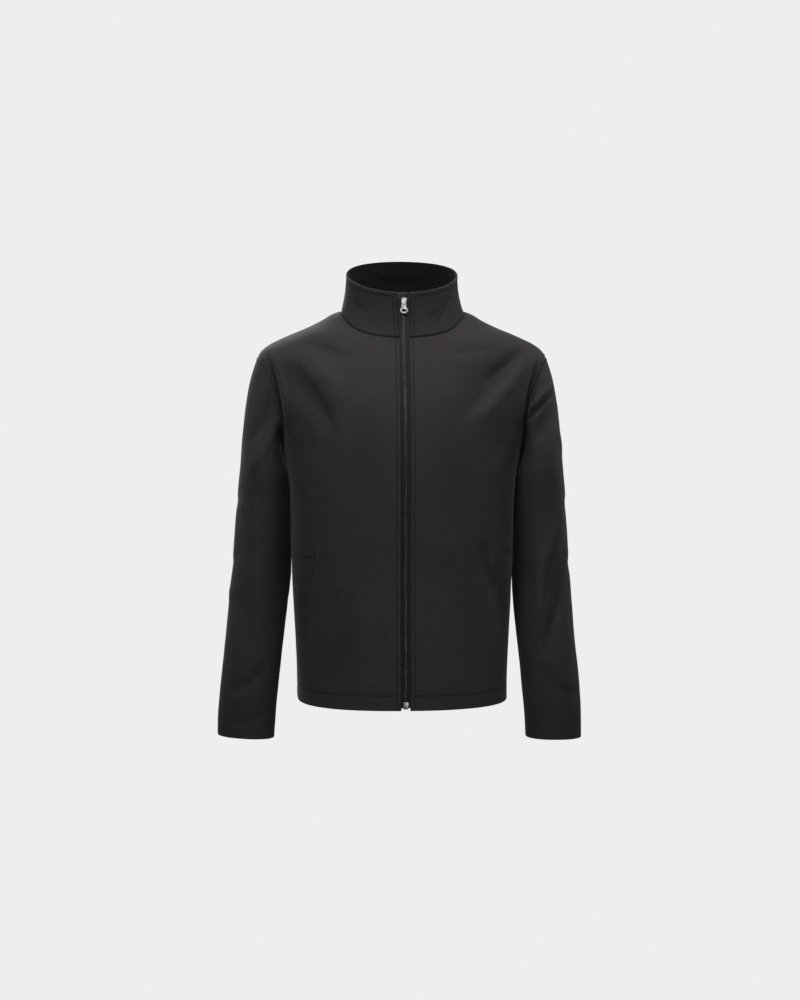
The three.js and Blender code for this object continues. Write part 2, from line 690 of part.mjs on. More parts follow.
function sliderGeometry() {
  const plate = new THREE.Shape();
  plate.moveTo(-sliderWidth / 2, sliderLength / 2);
  plate.lineTo(sliderWidth / 2, sliderLength / 2);
  plate.lineTo(sliderWidth / 2 - sliderWaist, 0);
  plate.lineTo(sliderWidth / 2 - sliderTaper, -sliderLength / 2);
  plate.lineTo(-sliderWidth / 2 + sliderTaper, -sliderLength / 2);
  plate.lineTo(-sliderWidth / 2 + sliderWaist, 0);
  plate.closePath();
  const extrude = () => new THREE.ExtrudeGeometry(plate, { depth: plateThickness, bevelEnabled: false }).rotateX(Math.PI / 2);
  const front = extrude().translate(0, -plateGap / 2, 0);
  const back = extrude().translate(0, plateGap / 2 + plateThickness, 0);
  const wedge = boxAt(wedgeWidth, plateGap + weld, wedgeLength, 0, 0, (sliderLength - wedgeLength) / 2);
  const bridge = toSolid(boxAt(bridgeWidth, bridgeRise + weld, bridgeLength, 0, bridgeFront - (bridgeRise - weld) / 2, 0)).subtract(
    toSolid(
      boxAt(bridgeWidth + 2, bridgeRise - bridgeWall, bridgeLength - 2 * bridgeWall, 0, bridgeFront - (bridgeRise - bridgeWall) / 2, 0),
    ),
  );
  return fromSolid(toSolid(front).add(toSolid(back)).add(toSolid(wedge)).add(bridge));
}

// Pull tab, in the frame of its pin: the pin lies along x, the tab hangs down -z
const tabThickness = 1.4;
const tabLength = 20.5;
const tabTopHalf = 4.2;
const tabWaistHalf = 4.0;
const tabEndHalf = 6.9;
const tabSlotHalf = bridgeWidth / 2 + 0.35;
const tabSlotLength = 6;
const eyePlace = 15.2;
const eyeHalfWide = 4.3;
const eyeHalfHigh = 2.6;
const eyeSides = 16;

function pullTabGeometry() {
  const outline = new THREE.Shape();
  outline.moveTo(-tabTopHalf, 0.6);
  outline.lineTo(tabTopHalf, 0.6);
  outline.lineTo(tabWaistHalf, -8.5);
  outline.bezierCurveTo(tabWaistHalf, -11.5, tabEndHalf, -12, tabEndHalf, -14.8);
  outline.bezierCurveTo(tabEndHalf, -17.8, 3.6, -tabLength, 0, -tabLength);
  outline.bezierCurveTo(-3.6, -tabLength, -tabEndHalf, -17.8, -tabEndHalf, -14.8);
  outline.bezierCurveTo(-tabEndHalf, -12, -tabWaistHalf, -11.5, -tabWaistHalf, -8.5);
  outline.closePath();
  const slot = new THREE.Path();
  slot.moveTo(-tabSlotHalf, -pinRadius);
  slot.lineTo(-tabSlotHalf, -tabSlotLength);
  slot.lineTo(tabSlotHalf, -tabSlotLength);
  slot.lineTo(tabSlotHalf, -pinRadius);
  slot.closePath();
  const eye = new THREE.Path(
    Array.from({ length: eyeSides }, (_, i) => {
      const angle = (2 * Math.PI * i) / eyeSides;
      return new THREE.Vector2(eyeHalfWide * Math.cos(angle), -eyePlace + eyeHalfHigh * Math.sin(angle));
    }),
  );
  outline.holes.push(slot, eye);
  const plate = new THREE.ExtrudeGeometry(outline, { depth: tabThickness, bevelEnabled: false, curveSegments: 5 });
  return plate.rotateX(Math.PI / 2).translate(0, tabThickness / 2, 0);
}

const endBoxGeometry = () => boxAt(endBox.width, endBox.depth, endBox.height, 0, 0, 0);

// A point on the cloth's own facets, from the grid of a front panel
function onPanel(grid, across, height) {
  let best = null;
  for (let r = 0; r < grid.length - 1; r++) {
    for (let c = 0; c < grid[0].length - 1; c++) {
      for (const corners of [[grid[r][c], grid[r][c + 1], grid[r + 1][c + 1]], [grid[r][c], grid[r + 1][c + 1], grid[r + 1][c]]]) {
        const [a, b, d] = corners;
        const area = (b.x - a.x) * (d.z - a.z) - (d.x - a.x) * (b.z - a.z);
        const u = ((across - a.x) * (d.z - a.z) - (d.x - a.x) * (height - a.z)) / area;
        const v = ((b.x - a.x) * (height - a.z) - (across - a.x) * (b.z - a.z)) / area;
        if (u >= -1e-6 && v >= -1e-6 && u + v <= 1 + 1e-6) {
          best = a.clone().addScaledVector(b.clone().sub(a), u).addScaledVector(d.clone().sub(a), v);
        }
      }
    }
  }
  return best;
}

const weltSteps = 16;
function weltSheet(side, front) {
  const columns = panelColumns + 1;
  const grid = Array.from({ length: panelRows + 1 }, (_, r) => front.points.slice(r * columns, (r + 1) * columns));
  const along = new THREE.Vector2(pocketEnd.across - pocketTop.across, pocketEnd.height - pocketTop.height).normalize();
  const rows = [];
  for (let i = 0; i <= weltSteps; i++) {
    const t = i / weltSteps;
    const across = lerp(pocketTop.across, pocketEnd.across, t);
    const height = lerp(pocketTop.height, pocketEnd.height, t);
    rows.push(
      [0, 0.5, 1].map((w) =>
        onPanel(grid, side * (across + along.y * weltWidth * w), height - along.x * weltWidth * w),
      ),
    );
  }
  return sheetOfGrid(rows, side < 0);
}

// Materials, from the look of the real cloth and metal
const softshell = new THREE.MeshStandardMaterial({ color: 0x2b292a, roughness: 0.82, metalness: 0 });
const fleece = new THREE.MeshStandardMaterial({ color: 0x161516, roughness: 0.95, metalness: 0 });
const zipTapeCloth = new THREE.MeshStandardMaterial({ color: 0x1f1f22, roughness: 0.85, metalness: 0 });
const toothPlastic = new THREE.MeshStandardMaterial({ color: 0x17171a, roughness: 0.3, metalness: 0 });
const nickel = new THREE.MeshStandardMaterial({ color: 0xb9b9bb, roughness: 0.25, metalness: 1 });

const jacket = new THREE.Group();
function addPiece(name, geometry, material, parent = jacket) {
  const mesh = new THREE.Mesh(geometry, material);
  mesh.name = name;
  parent.add(mesh);
  return mesh;
}

// Cloth sheets, folded and then matched at their seams
const sheets = {
  front_left: frontSheet(1),
  front_right: frontSheet(-1),
  back: backSheet(),
  sleeve_left: sleeveSheet(1),
  sleeve_right: sleeveSheet(-1),
  collar: collarSheet(),
};

// Folds fade out towards the seams, so that the edges of two pieces stay together
const foldFade = 26;
function fadeFrom(distance) {
  return distance >= foldFade ? 0 : 1 - distance / foldFade;
}
function nearestEdge(sheet) {
  const rim = boundaryEdges(sheet.faces).map(([p]) => sheet.points[p].clone());
  return (point) => fadeFrom(Math.min(...rim.map((q) => q.distanceTo(point))));
}
const bodyHalf = (point) => (point.y < 0 ? "front" : "back");
for (const name of ["front_left", "front_right", "back"]) {
  foldSheet(sheets[name], bodyFolds, bodyHalf, nearestEdge(sheets[name]));
}
for (const name of ["sleeve_left", "sleeve_right"]) {
  foldSheet(sheets[name], sleeveFolds, (point) => (point.y < 4 ? "front" : "back"), nearestEdge(sheets[name]));
}
matchSeamNormals(Object.values(sheets));
for (const [name, sheet] of Object.entries(sheets)) addPiece(name, wallGeometry(sheet, clothThickness), softshell);

addPiece("collar_facing", wallGeometry(facingSheet(sheets.collar), facingThickness, -(clothThickness + seamGap)), fleece);
for (const [word, side] of [["left", 1], ["right", -1]]) {
  const welt = weltSheet(side, sheets[`front_${word}`]);
  addPiece(`pocket_welt_${word}`, wallGeometry(welt, weltThickness, weltLift + weltThickness), softshell);
  addPiece(`zip_tape_${word}`, tapeGeometry(side), zipTapeCloth);
  addPiece(`zip_teeth_${word}`, teethGeometry(side), toothPlastic);
}
addPiece("zip_guard", guardGeometry(), softshell);

// The slider and its tab lie along the slope of the collar's front
const neckPoint = bodyPoint("front", 1, 0, frontNeckHeight);
const sliderRise = (sliderHeight - frontNeckHeight) / (collarTopHeight.front - frontNeckHeight);
const sliderPoint = collarPoint(neckPoint, 0, sliderRise);
const slopeStep = 0.02;
const slope = collarPoint(neckPoint, 0, sliderRise + slopeStep).sub(collarPoint(neckPoint, 0, sliderRise - slopeStep));
const sliderTilt = -Math.atan2(slope.y, slope.z);
const metalware = new THREE.Group();
metalware.position.copy(sliderPoint);
metalware.rotation.x = sliderTilt;
const teethMiddle = -(teethTop + teethBottom) / 2;
const slider = addPiece("zip_slider", sliderGeometry(), nickel, metalware);
slider.position.y = teethMiddle;
const tabLean = 0.16;
const tab = addPiece("zip_pull_tab", pullTabGeometry(), nickel, metalware);
tab.position.set(0, teethMiddle + pinPlace.out, pinPlace.up);
tab.rotation.x = -tabLean;
jacket.add(metalware);

const hemPoint = bodyPoint("front", 1, 0, hemHeight);
const zipBox = addPiece("zip_end_box", endBoxGeometry(), nickel);
zipBox.position.set(0, hemPoint.y + teethMiddle, endBoxTop - endBox.height / 2);

export default jacket;
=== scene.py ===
# Softshell jacket with a stand collar and a full-length front zip, hollow and filled out as if worn.
# Metres, +Z up, the front faces -Y and the wearer's left is +X.
import bpy
import bmesh
import math
from mathutils import Matrix, Vector, noise
from mathutils.bvhtree import BVHTree
from mathutils.kdtree import KDTree


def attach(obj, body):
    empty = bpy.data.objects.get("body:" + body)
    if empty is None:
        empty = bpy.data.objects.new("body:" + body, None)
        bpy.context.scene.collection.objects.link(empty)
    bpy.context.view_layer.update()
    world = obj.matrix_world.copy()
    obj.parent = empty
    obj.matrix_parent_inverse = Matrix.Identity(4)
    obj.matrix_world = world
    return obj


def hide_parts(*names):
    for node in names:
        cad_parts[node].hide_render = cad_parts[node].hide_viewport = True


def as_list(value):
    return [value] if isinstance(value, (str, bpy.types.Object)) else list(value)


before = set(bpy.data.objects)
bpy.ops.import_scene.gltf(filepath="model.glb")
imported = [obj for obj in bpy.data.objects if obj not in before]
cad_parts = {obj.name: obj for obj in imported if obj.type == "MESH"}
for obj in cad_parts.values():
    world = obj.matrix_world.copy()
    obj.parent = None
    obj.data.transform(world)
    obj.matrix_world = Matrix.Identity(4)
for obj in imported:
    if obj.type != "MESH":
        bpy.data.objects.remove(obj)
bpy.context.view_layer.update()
mm = 0.001
print("frame loaded")


# Camera at the photograph's angle, a little from the wearer's right and from above
cameraSetup = {"azimuth": -2.5, "elevation": 3.5, "distance": 3.2, "lens": 65.8, "aim": (-0.0035, 0, -0.329)}

def addCamera():
    turn = math.radians(cameraSetup["azimuth"])
    rise = math.radians(cameraSetup["elevation"])
    back = Vector((math.sin(turn) * math.cos(rise), -math.cos(turn) * math.cos(rise), math.sin(rise)))
    data = bpy.data.cameras.new("camera")
    data.lens = cameraSetup["lens"]
    camera = bpy.data.objects.new("camera", data)
    camera.location = Vector(cameraSetup["aim"]) + back * cameraSetup["distance"]
    camera.rotation_mode = "QUATERNION"
    camera.rotation_quaternion = (-back).to_track_quat("-Z", "Y")
    bpy.context.scene.collection.objects.link(camera)
    bpy.context.scene.camera = camera

addCamera()
print("camera placed")


# Small helpers for materials
def hexColour(text):
    values = [int(text[i:i + 2], 16) / 255 for i in (1, 3, 5)]
    return [v / 12.92 if v <= 0.04045 else ((v + 0.055) / 1.055) ** 2.4 for v in values] + [1.0]

def addNode(tree, kind, inputs=None, **settings):
    node = tree.nodes.new(kind)
    for name, value in settings.items():
        setattr(node, name, value)
    for name, value in (inputs or {}).items():
        if isinstance(value, bpy.types.NodeSocket):
            tree.links.new(value, node.inputs[name])
        else:
            node.inputs[name].default_value = value
    return node

def newMaterial(name, shader):
    material = bpy.data.materials.new(name)
    material.use_nodes = True
    tree = material.node_tree
    tree.nodes.clear()
    surface = addNode(tree, "ShaderNodeBsdfPrincipled", shader)
    output = addNode(tree, "ShaderNodeOutputMaterial", {"Surface": surface.outputs["BSDF"]})
    return material, tree, surface, output

def mixColour(tree, share, dark, light):
    mix = addNode(tree, "ShaderNodeMix", data_type="RGBA")
    for socket, value in ((0, share), (6, dark), (7, light)):
        if isinstance(value, bpy.types.NodeSocket):
            tree.links.new(value, mix.inputs[socket])
        else:
            mix.inputs[socket].default_value = value
    return mix.outputs[2]

def waveScale(spacing):
    return 0.314159 / spacing  # bands of a Wave Texture lie this far apart in metres


# Polyester softshell: a plain weave bonded to fleece, piece-dyed black, so matt with a faint bloom
softshellLook = {
    "dark": "#242021",
    "light": "#302b2d",
    # colour of the painted highlight along rolled edges, where they catch the light
    "worn": "#454042",
    # colour of the painted shade in folds, seams and grooves
    "shadeColour": "#060505",
    "threadSpacing": 0.9 * mm,  # the real 0.35 mm thread is too fine to show, so it is drawn coarser
    "weaveDepth": 0.10,
    "mottleSize": 7 * mm,
    "slubSize": 1.6 * mm,
    "roughness": 0.78,
    "sheen": 0.16,
}

def softshellMaterial():
    look = softshellLook
    material, tree, surface, output = newMaterial("woven polyester softshell", {
        "Roughness": look["roughness"],
        "IOR": 1.45,
        "Specular IOR Level": 0.32,
        "Sheen Weight": look["sheen"],
        "Sheen Roughness": 0.45,
        "Sheen Tint": hexColour("#b9b6b8"),
    })
    place = addNode(tree, "ShaderNodeTexCoord")
    cloth = addNode(tree, "ShaderNodeUVMap", uv_map="cloth")
    bands = {}
    for way in ("X", "Y"):
        bands[way] = addNode(tree, "ShaderNodeTexWave", {
            "Vector": cloth.outputs["UV"],
            "Scale": waveScale(look["threadSpacing"]),
            "Distortion": 0.6,
            "Detail": 1.0,
            "Detail Scale": 0.4,
        }, wave_type="BANDS", bands_direction=way)
    weave = addNode(tree, "ShaderNodeMath", {0: bands["X"].outputs["Fac"], 1: bands["Y"].outputs["Fac"]},
                    operation="MULTIPLY")
    mottle = addNode(tree, "ShaderNodeTexNoise", {
        "Vector": place.outputs["Object"], "Scale": 1 / look["mottleSize"], "Detail": 3.0, "Roughness": 0.55})
    slub = addNode(tree, "ShaderNodeTexNoise", {
        "Vector": place.outputs["Object"], "Scale": 1 / look["slubSize"], "Detail": 2.0, "Roughness": 0.6})
    tone = mixColour(tree, mottle.outputs["Fac"], hexColour(look["dark"]), hexColour(look["light"]))
    # Painted highlight: an attribute lightens the colour along rolled edges, where they catch the light
    paintedHighlight = addNode(tree, "ShaderNodeAttribute", attribute_name="paintedHighlight")
    tone = mixColour(tree, paintedHighlight.outputs["Fac"], tone, hexColour(look["worn"]))
    # Painted shade: an attribute darkens the colour in fold troughs, seams, stitched grooves, on the sleeve
    # sides beside the body, on the cuffs and on the collar
    shade = addNode(tree, "ShaderNodeAttribute", attribute_name="shade")
    tone = mixColour(tree, shade.outputs["Fac"], tone, hexColour(look["shadeColour"]))
    tree.links.new(tone, surface.inputs["Base Color"])
    height = addNode(tree, "ShaderNodeMath", {0: slub.outputs["Fac"], 1: 0.7}, operation="MULTIPLY")
    height = addNode(tree, "ShaderNodeMath", {0: weave.outputs["Value"], 1: height.outputs["Value"]},
                     operation="ADD")
    bump = addNode(tree, "ShaderNodeBump", {
        "Strength": look["weaveDepth"], "Distance": 0.4 * mm, "Height": height.outputs["Value"]})
    tree.links.new(bump.outputs["Normal"], surface.inputs["Normal"])
    return material


# Microfleece, knitted and brushed: a soft pile that swallows light and shows pale tips at its edge
fleeceLook = {"dark": "#070606", "light": "#141112", "tuftSize": 1.5 * mm, "cloudSize": 11 * mm, "sheen": 0.1}

def fleeceMaterial():
    look = fleeceLook
    material, tree, surface, output = newMaterial("brushed microfleece", {
        "Roughness": 0.95,
        "Specular IOR Level": 0.15,
        "Sheen Weight": look["sheen"],
        "Sheen Roughness": 0.6,
        "Sheen Tint": hexColour("#a5a2a4"),
    })
    place = addNode(tree, "ShaderNodeTexCoord")
    tuft = addNode(tree, "ShaderNodeTexNoise", {
        "Vector": place.outputs["Object"], "Scale": 1 / look["tuftSize"], "Detail": 4.0, "Roughness": 0.7})
    cloud = addNode(tree, "ShaderNodeTexNoise", {
        "Vector": place.outputs["Object"], "Scale": 1 / look["cloudSize"], "Detail": 2.0})
    blend = addNode(tree, "ShaderNodeMath", {0: tuft.outputs["Fac"], 1: cloud.outputs["Fac"]},
                    operation="MULTIPLY")
    tone = mixColour(tree, blend.outputs["Value"], hexColour(look["dark"]), hexColour(look["light"]))
    tree.links.new(tone, surface.inputs["Base Color"])
    bump = addNode(tree, "ShaderNodeBump", {
        "Strength": 0.6, "Distance": 0.8 * mm, "Height": tuft.outputs["Fac"]})
    tree.links.new(bump.outputs["Normal"], surface.inputs["Normal"])
    return material


# Polyester zip tape: a close herringbone ribbon, a little smoother than the shell
tapeLook = {"dark": "#09090c", "light": "#141419", "ribSpacing": 0.9 * mm}

def tapeMaterial():
    look = tapeLook
    material, tree, surface, output = newMaterial("woven polyester zip tape", {
        "Roughness": 0.7, "Specular IOR Level": 0.3, "Sheen Weight": 0.06, "Sheen Roughness": 0.4})
    place = addNode(tree, "ShaderNodeTexCoord")
    rib = addNode(tree, "ShaderNodeTexWave", {
        "Vector": place.outputs["Object"], "Scale": waveScale(look["ribSpacing"])},
        wave_type="BANDS", bands_direction="Z")
    tone = mixColour(tree, rib.outputs["Fac"], hexColour(look["dark"]), hexColour(look["light"]))
    tree.links.new(tone, surface.inputs["Base Color"])
    bump = addNode(tree, "ShaderNodeBump", {
        "Strength": 0.5, "Distance": 0.2 * mm, "Height": rib.outputs["Fac"]})
    tree.links.new(bump.outputs["Normal"], surface.inputs["Normal"])
    return material


# The harder finishes share one build: a grain that mottles the colour, and the gloss and relief with it
def grainMaterial(name, look, shader):
    material, tree, surface, output = newMaterial(name, shader)
    place = addNode(tree, "ShaderNodeTexCoord")
    grain = addNode(tree, "ShaderNodeTexNoise", {
        "Vector": place.outputs["Object"], "Scale": 1 / look["grainSize"], "Detail": look["detail"],
        "Roughness": look["sharp"]})
    tone = mixColour(tree, grain.outputs["Fac"], hexColour(look["dark"]), hexColour(look["light"]))
    tree.links.new(tone, surface.inputs["Base Color"])
    if "smooth" in look:
        gloss = addNode(tree, "ShaderNodeMapRange", {
            "Value": grain.outputs["Fac"], "To Min": look["smooth"], "To Max": look["rough"]})
        tree.links.new(gloss.outputs["Result"], surface.inputs["Roughness"])
    if "relief" in look:
        bump = addNode(tree, "ShaderNodeBump", {
            "Strength": look["relief"], "Distance": 0.1 * mm, "Height": grain.outputs["Fac"]})
        tree.links.new(bump.outputs["Normal"], surface.inputs["Normal"])
    return material

# Acetal zip teeth, injection moulded: glossy, with small scuffs where the slider has run
toothLook = {"dark": "#0b0a10", "light": "#17161d", "grainSize": 1.2 * mm, "detail": 3.0, "sharp": 0.5,
             "smooth": 0.08, "rough": 0.22}

# Nickel-plated zinc, die-cast and barrel polished: bright, with faint tumbling marks
nickelLook = {"dark": "#a8a7a5", "light": "#c9c8c6", "grainSize": 0.9 * mm, "detail": 4.0, "sharp": 0.65,
              "smooth": 0.26, "rough": 0.42, "relief": 0.08}

# Spun polyester thread: dyed to match, a touch glossier than the cloth, so a stitch catches the light
threadLook = {"dark": "#141213", "light": "#262324", "grainSize": 0.5 * mm, "detail": 2.0, "sharp": 0.5}

shellCloth = softshellMaterial()
fleeceCloth = fleeceMaterial()
tapeCloth = tapeMaterial()
toothPlastic = grainMaterial("moulded acetal", toothLook, {"IOR": 1.48, "Specular IOR Level": 0.55})
nickelPlate = grainMaterial("polished nickel plate", nickelLook, {"Metallic": 1.0})
sewingThread = grainMaterial("spun polyester thread", threadLook, {
    "Roughness": 0.55, "Specular IOR Level": 0.45, "Sheen Weight": 0.2, "Sheen Roughness": 0.3})
print("materials made")


# Small helpers for meshes
def solidOf(node):
    bm = bmesh.new()
    bm.from_mesh(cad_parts[node].data)
    bmesh.ops.remove_doubles(bm, verts=bm.verts, dist=0.02 * mm)
    return bm

def meshOf(bm, name):
    for face in bm.faces:
        face.smooth = True
    mesh = bpy.data.meshes.new(name)
    bm.to_mesh(mesh)
    bm.free()
    return mesh

def linked(name, mesh):
    thing = bpy.data.objects.new(name, mesh)
    bpy.context.scene.collection.objects.link(thing)
    return thing

# The four corners of each cross-section of a strip, from the hem up
def crossSections(node):
    bm = solidOf(node)
    corners = sorted((v.co.copy() for v in bm.verts), key=lambda p: p.z)
    bm.free()
    return [corners[i:i + 4] for i in range(0, len(corners) - 3, 4)]


# Cloth sheets: the outer skin of a solid as a grid of quads, ready to be refined
seamReach = 1.2 * mm  # edges of two pieces that lie closer than this are sewn together

def skinOf(node, wall, inside=False):
    bm = solidOf(node)
    rim = [f for f in bm.faces if any(e.calc_length() < wall * 1.05 for e in f.edges)]
    bmesh.ops.delete(bm, geom=rim, context="FACES")
    layers = []
    unseen = set(bm.faces)
    while unseen:
        layer = [unseen.pop()]
        for face in layer:
            for edge in face.edges:
                for other in edge.link_faces:
                    if other in unseen:
                        unseen.discard(other)
                        layer.append(other)
        layers.append(layer)
    # The outer skin of a tube or a band is the larger one; of a body panel it is the one further out
    def reach(layer):
        return sum(f.calc_center_median().dot(f.normal) * f.calc_area() for f in layer)
    layers.sort(key=reach)
    keep = set(layers[0] if inside else layers[-1])
    bmesh.ops.delete(bm, geom=[f for f in bm.faces if f not in keep], context="FACES")
    if node == "collar":
        bmesh.ops.join_triangles(bm, faces=bm.faces, angle_face_threshold=math.pi,
                                 angle_shape_threshold=math.pi, topology_influence=1.0)
    else:
        mergeToQuads(bm)
    return bm

# Takes out the diagonal of each quad. It starts at the squarest triangle and carries the pattern on:
# beyond a side of a quad the next diagonal starts at the corner that the last one missed, and on the
# centre line, where the two halves are mirrored, at the other one.
def mergeToQuads(bm):
    def squareness(face):
        longest = max(face.edges, key=lambda e: e.calc_length())
        corner = next(loop for loop in face.loops if loop.vert not in longest.verts)
        return abs(corner.calc_angle() - math.pi / 2), longest
    first = min(bm.faces, key=lambda f: squareness(f)[0])
    diagonalOf = {first: squareness(first)[1]}
    line = [first]
    for face in line:
        diagonal = diagonalOf[face]
        for edge in face.edges:
            for other in edge.link_faces:
                if other is face or other in diagonalOf:
                    continue
                if edge is diagonal:
                    diagonalOf[other] = diagonal
                else:
                    onCentre = all(abs(v.co.x) < 0.05 * mm for v in edge.verts)
                    start = next(v for v in edge.verts if (v in diagonal.verts) == onCentre)
                    diagonalOf[other] = next(e for e in other.edges if e is not edge and start in e.verts)
                line.append(other)
    diagonals = [e for e in dict.fromkeys(diagonalOf.values()) if len(e.link_faces) == 2]
    bmesh.ops.dissolve_edges(bm, edges=diagonals, use_verts=False)

# The front skin of a long strip such as a tape, from the corners of its cross-sections
def stripOf(node):
    bm = bmesh.new()
    last = None
    for corners in crossSections(node):
        pair = sorted(sorted(corners, key=lambda p: p.y)[:2], key=lambda p: p.x)
        if last and (pair[0] - last[0].co).length < 2 * mm:
            continue
        fresh = [bm.verts.new(p) for p in pair]
        if last:
            bm.faces.new((last[0], last[1], fresh[1], fresh[0]))
        last = fresh
    bm.normal_update()
    return bm

# Lays a sheet out flat, so that its weave follows the cloth, with the UV in metres and v up the piece
def flatten(bm, name):
    mesh = bpy.data.meshes.new(name)
    bm.to_mesh(mesh)
    mesh.uv_layers.new(name="cloth")
    thing = linked(name, mesh)
    for other in bpy.context.selected_objects:
        other.select_set(False)
    bpy.context.view_layer.objects.active = thing
    thing.select_set(True)
    bpy.ops.object.mode_set(mode="EDIT")
    bpy.ops.mesh.select_all(action="SELECT")
    bpy.ops.uv.unwrap(method="ANGLE_BASED", margin=0.0)
    bpy.ops.object.mode_set(mode="OBJECT")
    thing.select_set(False)
    flat = bmesh.new()
    flat.from_mesh(mesh)
    uv = flat.loops.layers.uv["cloth"]
    real, drawn, up = 0.0, 0.0, Vector((0, 0))
    for face in flat.faces:
        for loop in face.loops:
            step = loop.link_loop_next.vert.co - loop.vert.co
            run = loop.link_loop_next[uv].uv - loop[uv].uv
            real += step.length
            drawn += run.length
            up += run * step.z
    turn = Matrix.Rotation(-math.atan2(-up.x, up.y), 2)
    for face in flat.faces:
        for loop in face.loops:
            loop[uv].uv = turn @ loop[uv].uv * (real / drawn)
    bpy.data.objects.remove(thing)
    return flat

def refined(bm, name, level):
    mesh = bpy.data.meshes.new(name)
    bm.to_mesh(mesh)
    thing = linked(name, mesh)
    smooth = thing.modifiers.new("smooth", "SUBSURF")
    smooth.levels = level
    smooth.render_levels = level
    smooth.boundary_smooth = "PRESERVE_CORNERS"
    smooth.uv_smooth = "PRESERVE_BOUNDARIES"
    result = bpy.data.meshes.new_from_object(thing.evaluated_get(bpy.context.evaluated_depsgraph_get()))
    bpy.data.objects.remove(thing)
    fine = bmesh.new()
    fine.from_mesh(result)
    bpy.data.meshes.remove(result)
    fine.normal_update()
    return fine


# The seam that closes a sleeve runs down its under side, where it is cut open to lie flat
def markUnderarm(bm):
    rim = [v for v in bm.verts if v.is_boundary and v.co.z > -0.4]
    vert = min(rim, key=lambda v: v.co.z)
    edge = next(e for e in vert.link_edges if not e.is_boundary)
    while edge:
        edge.seam = True
        vert = edge.other_vert(vert)
        if vert.is_boundary:
            break
        edge = next(e for e in vert.link_edges if not set(e.link_faces) & set(edge.link_faces))


# Fixed values of the cloth
clothSetup = {
    "seamBand": 9 * mm,  # finer faces this far from an edge, for its seam and topstitching
    "lineBand": 4 * mm,  # and this far from a line of stitching
    "turnedWidth": 14 * mm,
    "foldFade": 9 * mm,
    "seamDip": 1.0 * mm,
    "seamDipWidth": 1.6 * mm,
    "allowanceLift": 0.6 * mm,
    "allowanceMiddle": 4.0 * mm,
    "allowanceWidth": 2.4 * mm,
    "grooveDepth": 0.5 * mm,
    "grooveWidth": 1.25 * mm,
    "puckerLift": 0.28 * mm,
    "puckerSize": 8 * mm,
    "puckerReach": 11 * mm,
    "paintedHighlight": {"top": 1.0, "bottom": 0.25},  # painted highlight: a folded edge is painted paler, where it catches the light
    "highlightWidth": 2.0 * mm,
    "seamShade": 0.85,  # seams and stitched grooves hold shade
    "seamShadeWidth": 1.9 * mm,
    "foldShade": 0.6,
    "grooveShade": 0.75,
    "drawnWidth": 5 * mm,  # an edge is drawn in by this share of its wall
    "drawnSeam": 0.04,
    "drawnFree": 0.2,
}

# The cut pieces. solid is the wall of the CAD solid, wall the cloth and turned a folded edge. rows are
# the distances of the topstitching from each kind of edge, swell is how uneven the cloth lies, and on is
# what it rests on.
front = {"solid": 2.0 * mm, "wall": 1.5 * mm, "turned": 2.1 * mm, "level": 3, "swell": 1.0, "rows": {},
         "slot": "softshell"}
tape = {"solid": 1.0 * mm, "wall": 0.9 * mm, "turned": 0.9 * mm, "level": 3, "swell": 0.15, "rows": {},
        "slot": "zip_tape"}
welt = {"solid": 1.2 * mm, "wall": 0.9 * mm, "turned": 0.9 * mm, "level": 3, "swell": 0.0, "rows": {},
        "slot": "softshell"}
sheets = {
    "front_left": {**front, "rows": {"front": 6.5 * mm, "bottom": 24 * mm, "sleeve_left": 6.5 * mm},
                   "on": ["back", "collar"]},
    "front_right": {**front, "rows": {"front": 6.5 * mm, "bottom": 24 * mm, "sleeve_right": 6.5 * mm},
                    "on": ["back", "collar"]},
    "back": {**front, "rows": {"bottom": 24 * mm, "sleeve_left": 6.5 * mm, "sleeve_right": 6.5 * mm},
             "on": ["front_left", "front_right"]},
    "sleeve_left": {**front, "on": ["front_left", "back"]},
    "sleeve_right": {**front, "on": ["front_right", "back"]},
    # painted shade: the collar's colour is darkened all over, for the lesser light that falls on it
    "collar": {**front, "shade": 0.56, "rows": {"front": 6.5 * mm, "top": 8 * mm},
               "on": ["front_left", "front_right", "back"]},
    "collar_facing": {"solid": 1.4 * mm, "wall": 1.2 * mm, "turned": 1.3 * mm, "level": 3, "swell": 0.7,
                      "rows": {}, "slot": "fleece", "inside": True, "on": ["collar"]},
    "zip_guard": {"solid": 1.4 * mm, "wall": 1.1 * mm, "turned": 1.4 * mm, "level": 4, "swell": 0.6,
                  "rows": {}, "slot": "softshell", "on": ["zip_tape_left", "zip_tape_right"]},
    "zip_tape_left": {**tape, "on": ["front_left"]},
    "zip_tape_right": {**tape, "on": ["front_right"]},
    "pocket_welt_left": {**welt, "on": ["front_left"], "laidOn": "front_left"},
    "pocket_welt_right": {**welt, "on": ["front_right"], "laidOn": "front_right"},
}
sewn = ("front_left", "front_right", "back", "sleeve_left", "sleeve_right", "collar")
cloths = {  # outer and inner face
    "softshell": [shellCloth, fleeceCloth],
    "fleece": [fleeceCloth, fleeceCloth],
    "zip_tape": [tapeCloth, tapeCloth],
}

# Directions that the fold tables are drawn from: the way to look, then the axes across and up
foldViews = {
    "front": (Vector((0, -1, 0)), 0),
    "back": (Vector((0, 1, 0)), 0),
    "left": (Vector((1, 0, 0)), 1),
    "right": (Vector((-1, 0, 0)), 1),
}

def curveThrough(points, steps=8):
    ends = [points[0]] + list(points) + [points[-1]]
    line = []
    for i in range(len(points) - 1):
        a, b, c, d = (Vector(p) for p in ends[i:i + 4])
        for k in range(steps):
            t = k / steps
            line.append(0.5 * (2 * b + (c - a) * t + (2 * a - 5 * b + 4 * c - d) * t * t
                               + (3 * b - a - 3 * c + d) * t * t * t))
    line.append(Vector(points[-1]))
    return line

